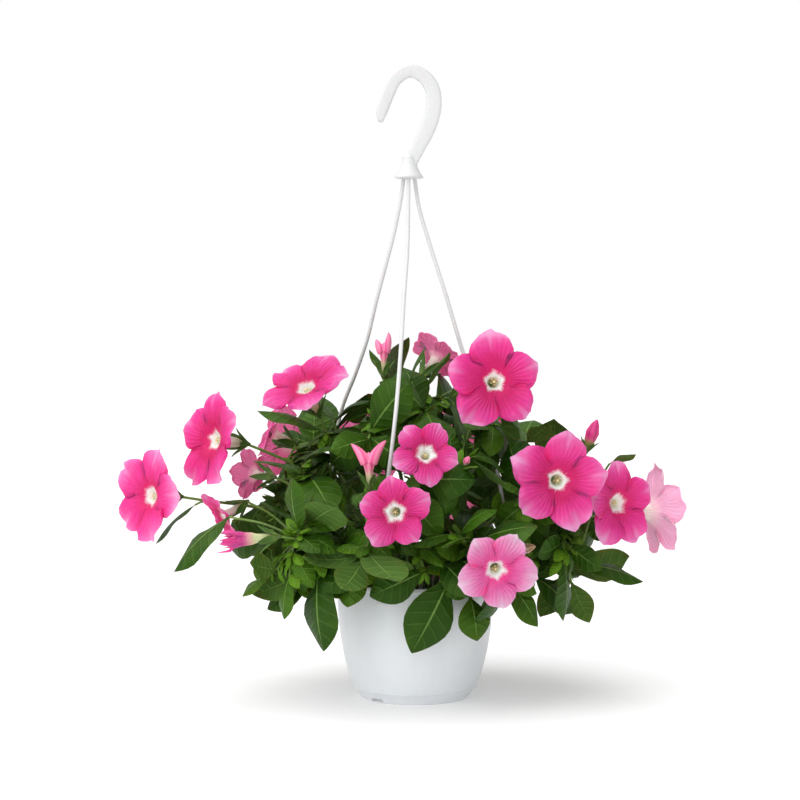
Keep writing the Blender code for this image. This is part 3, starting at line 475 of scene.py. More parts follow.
@dataclass(frozen=True)
class PlasticFinish(Finish):
    """Moulded white plastic: faint clouding, fine grain, dust towards the foot."""

    colour: Colour = (0.75, 0.775, 0.80)
    shade: Colour = (0.64, 0.665, 0.70)
    dirt: Colour = (0.42, 0.38, 0.32)
    dust_low: float = 0.0
    dust_high: float = 0.014
    sheen: float = 0.25
    streaks: float = 0.35

    def inputs(self, graph: Graph) -> dict[str, Any]:
        """Clouding, dust and grain."""
        cloud = graph.noise(14.0, 4.0, 0.55)
        streak = graph.noise(1.0, 3.0, 0.6, graph.place((160.0, 160.0, 9.0)))
        speck = graph.noise(900.0, 2.0, 0.7)
        height = graph.node("ShaderNodeSeparateXYZ", inputs={0: graph.place()}, output="Z")
        base = graph.mix((cloud * 0.7 + streak * 0.3).step(0.40, 0.66) * 0.35, self.colour, self.shade)
        dust = height.step(self.dust_high, self.dust_low) * graph.noise(240.0, 4.0, 0.7).step(0.45, 0.75)
        grain = graph.bump(speck, 0.00006, 0.35)
        return {"Base Color": graph.mix(dust * 0.12, base, self.dirt),
                "Roughness": self.roughness + speck * 0.10 + cloud * 0.08,
                "Normal": graph.bump(streak, 0.00035, self.streaks, grain),
                "Coat Weight": self.sheen, "Coat Roughness": 0.25,
                "Subsurface Weight": 0.06, "Subsurface Scale": 0.004}


@dataclass(frozen=True)
class LeafFinish(Finish):
    """Leaf: dark green and satin above, paler below, pale midrib, side veins, quilted between them."""

    deep: Colour = (0.012, 0.048, 0.002)
    fresh: Colour = (0.110, 0.260, 0.010)
    vein: Colour = (0.240, 0.400, 0.090)
    under: Colour = (0.080, 0.165, 0.030)
    edge: Colour = (0.090, 0.130, 0.020)
    gloss: tuple[float, ...] = (0.70, 0.95, 0.40, 1.0)
    pairs: float = 6.5

    def inputs(self, graph: Graph) -> dict[str, Any]:
        """Veins, blotches and the paler lower side."""
        along, side = graph.value("along"), abs(graph.value("across"))
        tint, below = graph.value("tint"), graph.value("under")
        blotch = graph.noise(55.0, 4.0, 0.6)
        fine = graph.noise(420.0, 3.0, 0.65)
        ribs = abs(((along - side * 0.16) * self.pairs + fine * 0.12).fraction() - 0.5) * 2.0
        rib = ribs.step(0.84, 0.99) * side.step(1.02, 0.70) * along.step(0.02, 0.12)
        midrib = (side / (0.105 - along * 0.085)).step(1.0, 0.30)
        green = graph.mix((tint * 0.85 + blotch * 0.40 - 0.19).clamp(), self.deep, self.fresh)
        green = graph.mix(below * 0.85, green, self.under)
        green = graph.mix(rib * (0.09 + below * 0.20), green, self.vein)
        green = graph.mix(midrib * (0.62 - along * 0.25), green, self.vein)
        quilt = (1.0 - ribs.step(0.50, 1.0)) * 0.8 + blotch * 0.5 - midrib * 1.2
        detail = graph.bump(fine, 0.00010, 0.5)
        return {"Base Color": graph.mix(side.step(0.92, 1.0) * fine * 0.22, green, self.edge),
                "Roughness": self.roughness + fine * 0.14 - midrib * 0.05 + below * 0.18,
                "Normal": graph.bump(quilt, 0.00060, 0.8, detail),
                "Specular IOR Level": 0.30, "Specular Tint": self.gloss,
                "Subsurface Weight": 0.05, "Subsurface Scale": 0.002}


@dataclass(frozen=True)
class StalkFinish(Finish):
    """Stem and calyx: yellow-green with darker lengthwise lines and a flush at the older end."""

    young: Colour = (0.150, 0.270, 0.035)
    old: Colour = (0.075, 0.120, 0.025)
    flush: Colour = (0.140, 0.075, 0.035)
    leafy: Colour = (0.030, 0.105, 0.010)

    def inputs(self, graph: Graph) -> dict[str, Any]:
        """The change along the stem, its lines and its fine grain."""
        along, leafy = graph.value("along"), graph.value("leafy")
        cloud = graph.noise(80.0, 3.0, 0.6)
        fine = graph.noise(700.0, 3.0, 0.6)
        green = graph.mix((along * 0.9 + cloud * 0.35 - 0.15).clamp(), self.old, self.young)
        green = graph.mix(cloud.step(0.56, 0.74) * (1.0 - along) * 0.45, green, self.flush)
        green = graph.mix(leafy * 0.72, green, self.leafy)
        return {"Base Color": graph.mix(fine.step(0.42, 0.62) * 0.25, green, self.old),
                "Roughness": self.roughness + fine * 0.18, "Normal": graph.bump(fine, 0.00015, 0.5),
                "Subsurface Weight": 0.06, "Subsurface Scale": 0.002}


@dataclass(frozen=True)
class PetalFinish(Finish):
    """Petal: deep near the eye, lighter outwards, pale streaks from the tips, starry eye, pale back."""

    deep: Colour = (0.54, 0.002, 0.100)
    middle: Colour = (0.82, 0.024, 0.235)
    light: Colour = (0.93, 0.165, 0.410)
    rim: Colour = (0.92, 0.36, 0.56)
    eye: Colour = (0.96, 0.84, 0.82)
    wall: Colour = (0.97, 0.92, 0.82)
    throat: Colour = (0.93, 0.86, 0.58)
    back: Colour = (1.0, 0.22, 0.40)
    tube: Colour = (0.90, 0.66, 0.60)
    ribs: Colour = (0.80, 0.20, 0.32)
    stalk_end: Colour = (0.58, 0.56, 0.30)
    fade: float = 0.0

    def front(self, graph: Graph, fine: Wire, cloud: Wire, veins: Wire) -> Wire:
        """Colours of the front: zones from the eye to the rim, painted shade where the petals overlap, then
        the eye and the throat over them.
        """
        reach, side = graph.value("reach"), abs(graph.value("across"))
        outward = reach + (cloud - 0.5) * 0.50 + graph.value("tint") * 0.12 + self.fade
        front = graph.mix(outward.step(0.24, 0.70), self.deep, self.middle)
        # Painted shade: the sides of each petal, where it lies under or over its neighbour, are darkened
        # towards the deep colour
        front = graph.mix(side.step(0.55, 1.0) * reach.step(0.86, 0.50) * 0.70, front, self.deep)
        front = graph.mix((outward - side * 0.16).step(0.56, 1.06) * 0.90, front, self.light)
        streak = (side / (0.03 + reach * 0.13)).step(1.0, 0.0) * reach.step(0.55, 1.0)
        front = graph.mix(streak * 0.50, front, self.rim)
        margin = (reach + fine * 0.06).step(0.86, 1.02) * cloud.step(0.40, 0.62)
        front = graph.mix(margin * 0.60, front, self.rim)
        front = graph.mix(veins * 0.20, front, self.deep)
        rays = (1.0 - side) * 0.07 + (fine - 0.5) * 0.09 + (graph.noise(150.0, 2.0, 0.6) - 0.5) * 0.14
        eye = (reach * graph.value("span") - rays).step(0.235, 0.085)
        front = graph.mix(eye * 0.94, front, self.eye)
        front = graph.mix((reach + (fine - 0.5) * 0.08).step(0.13, -0.10), front, self.wall)
        return graph.mix(reach.step(-0.15, -0.60), front, self.throat)

    def behind(self, graph: Graph, fine: Wire, veins: Wire) -> Wire:
        """Colours of the back: pale tube with ribs, yellow-green at its end, pink petals."""
        reach, across = graph.value("reach"), graph.value("across")
        ribs = (across * 9.4).wave() * reach.step(0.62, 0.05)
        behind = graph.mix((reach + (fine - 0.5) * 0.1).step(0.02, 0.42), self.tube, self.back)
        behind = graph.mix(reach.step(-0.30, -0.90), behind, self.stalk_end)
        behind = graph.mix(ribs * 0.25, behind, self.ribs)
        return graph.mix(veins * 0.10, behind, self.middle)

    def inputs(self, graph: Graph) -> dict[str, Any]:
        """Colours of both sides, veins and creases, and light that passes into the petal."""
        reach, across = graph.value("reach"), graph.value("across")
        cloud = graph.noise(48.0, 3.0, 0.55)
        fine = graph.noise(520.0, 2.0, 0.6)
        veins = (across * 34.0 + cloud * 5.0).wave() * reach.step(0.22, 0.42) * reach.step(1.0, 0.62)
        fold = graph.noise(110.0, 2.0, 0.5)
        crease = graph.bump(veins * 0.4 + cloud * 1.2 + fold * 0.8, 0.0016, 0.8)
        return {"Base Color": graph.mix(graph.value("back"), self.front(graph, fine, cloud, veins),
                                        self.behind(graph, fine, veins)),
                "Roughness": self.roughness + fine * 0.15, "Normal": graph.bump(fine, 0.00010, 0.5, crease),
                "Subsurface Weight": 0.68, "Subsurface Radius": (1.0, 0.40, 0.50),
                "Subsurface Scale": 0.005, "Specular IOR Level": 0.30}


@dataclass(frozen=True)
class BudFinish(Finish):
    """Furled bud: pale base, pink upper part with darker pleats."""

    pale: Colour = (0.66, 0.62, 0.34)
    pink: Colour = (0.93, 0.24, 0.42)
    dark: Colour = (0.72, 0.03, 0.20)
    turning: float = 0.30

    def inputs(self, graph: Graph) -> dict[str, Any]:
        """The pleats and the change from base to tip."""
        reach, pleat = graph.value("reach"), graph.value("pleat")
        fine = graph.noise(500.0, 3.0, 0.6)
        turned = (reach + (fine - 0.5) * 0.1).step(self.turning - 0.14, self.turning + 0.16)
        pleats = (pleat + (fine - 0.5) * 0.2).step(0.48, 0.95) * reach.step(0.1, 0.5)
        return {"Base Color": graph.mix(pleats * 0.75, graph.mix(turned, self.pale, self.pink), self.dark),
                "Roughness": self.roughness + fine * 0.12, "Normal": graph.bump(fine, 0.00012, 0.5)}


@dataclass(frozen=True)
class EarthFinish(Finish):
    """Dark compost: brown crumbs and fibres."""

    dark: Colour = (0.012, 0.008, 0.005)
    light: Colour = (0.070, 0.045, 0.028)

    def inputs(self, graph: Graph) -> dict[str, Any]:
        """Crumbs of two sizes."""
        coarse = graph.noise(160.0, 5.0, 0.7)
        fine = graph.noise(900.0, 3.0, 0.7)
        return {"Base Color": graph.mix((coarse * 0.7 + fine * 0.3).step(0.35, 0.7), self.dark, self.light),
                "Normal": graph.bump(coarse + fine * 0.4, 0.0018, 0.9)}


@dataclass(frozen=True)
class SpeckledFinish(Finish):
    """A surface of two colours that change in fine specks, pitted if it has a depth."""

    colour: Colour = (0.66, 0.63, 0.57)
    specks: Colour = (0.25, 0.19, 0.12)
    scale: float = 1400.0
    detail: float = 3.0
    rough: float = 0.7
    # Noise levels where the specks start and are full, and how strong they are then
    low: float = 0.0
    high: float = 1.0
    strength: float = 1.0
    depth: float = 0.0

    def inputs(self, graph: Graph) -> dict[str, Any]:
        """Specks, and pits at the same places."""
        fine = graph.noise(self.scale, self.detail, self.rough)
        whole = (self.low, self.high) == (0.0, 1.0)
        share = fine if whole else fine.step(self.low, self.high) * self.strength
        made = {"Base Color": graph.mix(share, self.colour, self.specks)}
        if self.depth:
            made["Normal"] = graph.bump(fine, self.depth, 0.8)
        return made


WHITE_PLASTIC = PlasticFinish("white_plastic", 0.36)
HOOK_PLASTIC = PlasticFinish("hook_plastic", 0.40, colour=(0.66, 0.665, 0.665), shade=(0.58, 0.585, 0.59),
                             dust_low=-1.0, dust_high=-0.9, sheen=0.08, streaks=0.03)
LEAF = LeafFinish("leaf", 0.38)
STALK = StalkFinish("stalk", 0.52)
DOWN = SpeckledFinish("down", 0.7, colour=(0.23, 0.33, 0.12), specks=(0.55, 0.62, 0.42), scale=900.0,
                      rough=0.5)
PETAL = PetalFinish("petal", 0.50)
PALE_PETAL = PetalFinish("pale_petal", 0.50, deep=(0.88, 0.020, 0.20), middle=(0.95, 0.130, 0.36),
                         light=(0.96, 0.36, 0.55), rim=(0.96, 0.58, 0.68), fade=0.10)
FADED_PETAL = PetalFinish("faded_petal", 0.55, deep=(0.90, 0.12, 0.30), middle=(0.92, 0.42, 0.52),
                          light=(0.94, 0.58, 0.66), rim=(0.95, 0.72, 0.76), back=(0.93, 0.38, 0.54),
                          tube=(0.88, 0.74, 0.66), fade=0.16)
WILTED_PETAL = PetalFinish("wilted_petal", 0.6, middle=(0.84, 0.020, 0.24), light=(0.90, 0.10, 0.36),
                           back=(0.86, 0.060, 0.28), tube=(0.78, 0.68, 0.34), stalk_end=(0.50, 0.52, 0.16))
POLLEN = SpeckledFinish("pollen", 0.8, colour=(0.80, 0.70, 0.36), specks=(0.50, 0.42, 0.12), scale=2500.0,
                        detail=2.0, rough=0.6)
BUD = BudFinish("bud", 0.5)
DARK_BUD = BudFinish("dark_bud", 0.5, pale=(0.30, 0.36, 0.08), pink=(0.62, 0.03, 0.20),
                     dark=(0.36, 0.008, 0.10))
SPENT_BUD = BudFinish("spent_bud", 0.6, pale=(0.78, 0.66, 0.52), pink=(0.45, 0.28, 0.15),
                      dark=(0.22, 0.12, 0.06), turning=0.62)
EARTH = EarthFinish("earth", 0.92)
GRAIN = SpeckledFinish("grain", 0.85, low=0.5, high=0.8, strength=0.6, depth=0.0004)


# Geometry Nodes


class GeometryTree:
    """A Geometry Nodes tree with named inputs, applied to an object and then frozen."""

    def __init__(self, name: str, **inputs: str) -> None:
        """Make the tree with a geometry input, other named inputs and a geometry output.

        Args:
            name: The tree's name.
            **inputs: Socket type of each other input by its name, with _ for a space.
        """
        tree = bpy.data.node_groups.new(name, "GeometryNodeTree")
        tree.interface.new_socket(name="Geometry", in_out="INPUT", socket_type="NodeSocketGeometry")
        self.names = {label: tree.interface.new_socket(name=label.replace("_", " "), in_out="INPUT",
                                                       socket_type=f"NodeSocket{kind}").identifier
                      for label, kind in inputs.items()}
        tree.interface.new_socket(name="Geometry", in_out="OUTPUT", socket_type="NodeSocketGeometry")
        self.tree = tree
        self.graph = Graph(tree)
        self.start = tree.nodes.new("NodeGroupInput")
        self.end = tree.nodes.new("NodeGroupOutput")

    def input(self, label: str) -> Wire:
        """Wire of a named input."""
        return Wire(self.graph, self.start.outputs[label])

    def attribute(self, name: str, kind: str = "FLOAT") -> Wire:
        """Named attribute of the geometry."""
        return self.graph.node("GeometryNodeInputNamedAttribute", {"data_type": kind}, {"Name": name})

    def step(self, kind: str, geometry: Wire, **inputs: Any) -> Wire:
        """Node that takes a geometry and gives one back, with its other inputs."""
        return self.graph.node(f"GeometryNode{kind}", inputs={"Geometry": geometry, **inputs})

    def instances(self, points: Wire, thing: Wire, **inputs: Any) -> Wire:
        """Real copies of a thing at points; input names have _ for a space."""
        named = {label.replace("_", " "): value for label, value in inputs.items()}
        made = self.graph.node("GeometryNodeInstanceOnPoints",
                               inputs={"Points": points, "Instance": thing, **named})
        return self.step("RealizeInstances", made)

    def finish(self, geometry: Wire) -> "GeometryTree":
        """Link the tree's last geometry to its output."""
        self.graph.feed(self.end.inputs["Geometry"], geometry)
        return self

    def apply(self, thing: bpy.types.Object, **values: Any) -> bpy.types.Object:
        """Run the tree on an object and keep the plain mesh.

        Args:
            thing: The object that holds the input geometry.
            **values: Values of the named inputs, with _ for a space.

        Returns:
            The same object with its new mesh.
        """
        step = thing.modifiers.new(self.tree.name, "NODES")
        step.node_group = self.tree
        for label, value in values.items():
            step[self.names[label]] = value
        return freeze(thing)


def tube_tree() -> GeometryTree:
    """Tree that turns paths into capped tubes, as thick as "girth" says, with hairs on their skin."""
    made = GeometryTree("tube", Sides="Int", Hairs="Float", Hair_Length="Float", Seed="Int", Skin="Material",
                        Down="Material")
    graph = made.graph
    curve = graph.node("GeometryNodeMeshToCurve", inputs={"Mesh": made.input("Geometry")})
    profile = graph.node("GeometryNodeCurvePrimitiveCircle", inputs={"Resolution": made.input("Sides"),
                                                                     "Radius": 1.0})
    tube = graph.node("GeometryNodeCurveToMesh", inputs={
        "Curve": curve, "Profile Curve": profile, "Scale": made.attribute("girth"), "Fill Caps": True})
    spread = graph.node("GeometryNodeDistributePointsOnFaces", inputs={
        "Mesh": tube, "Density": made.input("Hairs"), "Seed": made.input("Seed")}, output="Points")
    hair = graph.node("GeometryNodeMeshCone", inputs={
        "Vertices": 3, "Radius Top": 0.0, "Radius Bottom": 0.00006, "Depth": made.input("Hair Length")})
    hairs = made.instances(spread, hair, Rotation=spread.other("Rotation"))
    hairs = made.step("SetMaterial", hairs, Material=made.input("Down"))
    skin = made.step("SetShadeSmooth", tube)
    skin = made.step("SetMaterial", skin, Material=made.input("Skin"))
    return made.finish(graph.node("GeometryNodeJoinGeometry", inputs={"Geometry": [hairs, skin]}))


def foliage_tree() -> GeometryTree:
    """Tree that sets a leaf of the form, turn and size that each point names."""
    made = GeometryTree("foliage", Forms="Collection", Surface="Material")
    forms = made.graph.node("GeometryNodeCollectionInfo", inputs={
        "Collection": made.input("Forms"), "Separate Children": True, "Reset Children": True})
    points = made.graph.node("GeometryNodeMeshToPoints", inputs={"Mesh": made.input("Geometry"),
                                                                 "Radius": 0.001})
    leaves = made.instances(points, forms, Pick_Instance=True, Instance_Index=made.attribute("form", "INT"),
                            Rotation=made.attribute("turn", "FLOAT_VECTOR"),
                            Scale=made.attribute("size", "FLOAT_VECTOR"))
    leaves = made.step("SetShadeSmooth", leaves)
    return made.finish(made.step("SetMaterial", leaves, Material=made.input("Surface")))


def crumb_tree() -> GeometryTree:
    """Tree that scatters crumbs over a surface."""
    made = GeometryTree("crumbs", Density="Float", Seed="Int", Least="Float", Most="Float",
                        Surface="Material")
    graph = made.graph
    spread = graph.node("GeometryNodeDistributePointsOnFaces", inputs={
        "Mesh": made.input("Geometry"), "Density": made.input("Density"), "Seed": made.input("Seed")},
        output="Points")
    ball = graph.node("GeometryNodeMeshIcoSphere", inputs={"Radius": 1.0, "Subdivisions": 1})
    least, most = (graph.node("ShaderNodeCombineXYZ", inputs={n: made.input(label) for n in range(3)})
                   for label in ("Least", "Most"))
    size, turn = (graph.node("FunctionNodeRandomValue", {"data_type": "FLOAT_VECTOR"},
                             {**limits, "Seed": made.input("Seed")})
                  for limits in ({"Min": least, "Max": most}, {"Max": (math.tau, math.tau, math.tau)}))
    crumbs = made.instances(spread, ball, Rotation=turn, Scale=size)
    return made.finish(made.step("SetMaterial", crumbs, Material=made.input("Surface")))


# Pot, soil and hanger


@dataclass
class Pot:
    """White pot: curved wall, rounded lip, a step above the foot, notches, strand and drain holes."""

    height: float = 0.1125
    rim_radius: float = 0.0750
    lip_proud: float = 0.0016
    lip_height: float = 0.0040
    wall: float = 0.0015
    shoulder_radius: float = 0.0590
    shoulder_height: float = 0.0090
    curve: float = 2.5
    step_height: float = 0.0112
    foot_radius: float = 0.0500
    foot_width: float = 0.0040
    foot_recess: float = 0.0030
    # Outline of the foot from its edge up to the step: out of the foot's radius and up, in millimetres
    foot_outline: tuple[tuple[float, float], ...] = (
        (0.9, 0.0), (1.9, 0.4), (2.7, 1.5), (3.6, 3.6), (5.4, 6.0), (7.4, 8.2), (8.9, 9.8), (9.2, 10.1),
        (9.9, 10.3), (10.05, 10.7))
    boss_radius: float = 0.0090
    floor_top: float = 0.0050
    sides: int = 168
    levels: int = 34
    notch_angles: tuple[float, ...] = (-43.0, 77.0, 197.0)
    # Corners of a notch, across and up, and how far it reaches to each side of its middle
    notch: tuple[tuple[float, float], ...] = ((-0.0080, -0.001), (0.0080, -0.001), (0.0072, 0.0036),
                                              (-0.0072, 0.0036))
    notch_reach: float = 0.012
    notch_out: float = 0.004
    strand_angles: tuple[float, ...] = (-24.0, 95.0, -144.0)
    strand_height: float = 0.1010
    strand_hole: float = 0.0028
    strand_hole_sides: int = 32
    drain_angles: tuple[float, ...] = (45.0, 135.0, 225.0, 315.0)
    drain_hole: float = 0.0040
    drain_sides: int = 24
    drain_circle: float = 0.0300
    cutter_reach: float = 0.01
    dent_angle: float = -38.0
    dent_width: float = 7.0
    dent_depth: float = 0.0007
    waviness: float = 0.00025
    sharp_angle: float = 38.0

    def wall_radius(self, height: float) -> float:
        """Outer radius of the wall at a height."""
        share = (height - self.shoulder_height) / (self.height - self.shoulder_height)
        rise = 1 - max(1 - share, 0.0) ** self.curve
        return self.shoulder_radius + (self.rim_radius - self.shoulder_radius) * rise

    def profile(self) -> list[tuple[float, float]]:
        """Outline of the wall, from the middle of the base round to the middle of the floor."""
        lip, low = self.rim_radius + self.lip_proud, self.height - self.lip_height
        inner, inside = self.foot_radius - self.foot_width, self.rim_radius - self.wall
        heights = [self.step_height + (low - self.step_height) * (i / self.levels) ** 1.25
                   for i in range(self.levels + 1)]
        return [(0, 0), (self.boss_radius, 0), (self.boss_radius + 0.4 * MM, self.foot_recess),
                (inner - 0.4 * MM, self.foot_recess), (inner, 0.3 * MM), (inner + 0.4 * MM, 0),
                *((self.foot_radius + x * MM, z * MM) for x, z in self.foot_outline),
                *((self.wall_radius(z), z) for z in heights),
                (lip - 0.5 * MM, low), (lip - 0.1 * MM, low + 0.3 * MM), (lip, low + 0.8 * MM),
                (lip, self.height - 0.9 * MM), (lip - 0.3 * MM, self.height - 0.25 * MM),
                (lip - 0.9 * MM, self.height), (inside + 0.4 * MM, self.height),
                (inside, self.height - 0.4 * MM),
                *((self.wall_radius(z) - self.wall, z) for z in reversed(heights)),
                (self.foot_radius + 1.5 * MM, self.floor_top), (self.foot_radius - 1 * MM, self.floor_top),
                (0, self.floor_top)]

    def dent(self, point: Vector) -> Vector:
        """Point of the wall moved in where the wall has its soft upright dent."""
        angle = math.degrees(math.atan2(point.x, -point.y))
        away = (angle - self.dent_angle + 180) % 360 - 180
        level = smooth(0.012, 0.05, point.z) * smooth(0.108, 0.085, point.z)
        depth = self.dent_depth * math.exp(-(away / self.dent_width) ** 2) * level
        depth += self.waviness * math.sin(math.radians(angle * 3 + 40)) * level
        flat = Vector((point.x, point.y, 0))
        return point - flat.normalized() * depth if flat.length > self.foot_radius else point

    def notch_cutter(self) -> Shape:
        """Closed block that cuts one notch."""
        shape = Shape()
        rows = [[shape.add(Vector((x, y, z))) for x, z in self.notch]
                for y in (-self.notch_reach, self.notch_reach)]
        shape.grid([row[::-1] for row in rows], closed=True)
        shape.faces += [tuple(rows[0]), tuple(reversed(rows[1]))]
        return shape

    def cutters(self) -> list[bpy.types.Object]:
        """Rods and blocks that cut the strand holes, the notches and the drain holes."""
        made, reach = [], self.cutter_reach
        for angle in self.strand_angles:
            out = facing(angle, 0)
            place = out * self.wall_radius(self.strand_height) + UP * self.strand_height
            shape = rod(self.strand_hole, -reach, reach, self.strand_hole_sides)
            made.append(shape.place(axis_frame(place, out, 0)).object("strand_hole"))
        for angle in self.notch_angles:
            place = Matrix.Translation(facing(angle, 0) * (self.foot_radius + self.notch_out))
            turn = Matrix.Rotation(math.pi + math.radians(angle), 4, "Z")
            made.append(self.notch_cutter().place(place @ turn).object("notch"))
        for angle in self.drain_angles:
            shape = rod(self.drain_hole, -reach, reach, self.drain_sides)
            place = Matrix.Translation(facing(angle, 0) * self.drain_circle)
            made.append(shape.place(place).object("drain"))
        return made

    def dress(self) -> None:
        """Build the pot with its holes and notches and let it stand for its node."""
        shape = lathe(self.profile(), self.sides)
        shape.points = [self.dent(point) for point in shape.points]
        pot = shape.object("pot_shell", WHITE_PLASTIC)
        cut(pot, self.cutters())
        pot.data.shade_smooth()
        pot.data.set_sharp_from_angle(angle=math.radians(self.sharp_angle))
        settle(pot, ["pot"])


@dataclass
class Soil:
    """Compost with an uneven top, crumbs and pale grains."""

    pot: Pot
    edge_height: float = 0.0900
    crown_height: float = 0.0960
    gap: float = 0.0003
    sides: int = 72
    rings: int = 26
    # Heights of the block's side under its edge, and the waves on its top: how many, cycles and height
    levels: tuple[float, ...] = (0.012, 0.022, 0.04, 0.065)
    wave_count: int = 10
    wave_range: tuple[float, float] = (60, 260)
    wave_height: float = 0.00025
    crumb_sides: int = 36
    crumb_rings: int = 11
    # Name, surface, number a square metre, least and largest radius of what lies on the soil
    loose: tuple[tuple[str, Finish, float, float, float], ...] = (
        ("soil_crumbs", EARTH, 60000.0, 0.0007, 0.0022), ("soil_grains", GRAIN, 4500.0, 0.0007, 0.0018))

    def inner_radius(self, height: float) -> float:
        """Radius of the soil against the wall at a height."""
        return self.pot.wall_radius(height) - self.pot.wall - self.gap

    def block(self) -> Shape:
        """Soil block with waves on its top."""
        draw = random.Random(SEED + 3)
        radius = self.inner_radius(self.edge_height)
        base = self.pot.floor_top + self.gap
        waves = [(draw.uniform(*self.wave_range), draw.uniform(*self.wave_range), draw.uniform(0, math.tau))
                 for _ in range(self.wave_count)]
        profile = [(0, base), (self.pot.foot_radius - 2 * MM, base),
                   *((self.inner_radius(height), height)
                     for height in (*self.levels, self.edge_height - 2 * MM))]
        for i in range(self.rings + 1):
            rise = (self.crown_height - self.edge_height) * smooth(0, 0.5, i / self.rings)
            profile.append((radius * (1 - i / self.rings), self.edge_height - 1 * MM + rise))
        shape = lathe(profile, self.sides)
        for i, point in enumerate(shape.points):
            if point.z > self.edge_height - 1.5 * MM:
                rise = sum(math.sin(point.x * a + point.y * b + c) for a, b, c in waves)
                shape.points[i] = point + UP * rise * self.wave_height
        return shape

    def dress(self) -> None:
        """Build the soil, let the block stand for its node and scatter crumbs and grains over it."""
        settle(self.block().object("soil_block", EARTH), ["soil"])
        radius, rings = self.inner_radius(self.edge_height) - 2 * MM, self.crumb_rings
        disc = [(radius * i / rings, self.crown_height - 5 * MM * smooth(0.5, 1, i / rings))
                for i in range(rings + 1)]
        tree = crumb_tree()
        for name, finish, density, least, most in self.loose:
            crumbs = lathe(disc, self.crumb_sides).object(name)
            tree.apply(crumbs, Density=density, Seed=SEED, Least=least, Most=most, Surface=finish.make())
            settle(crumbs)


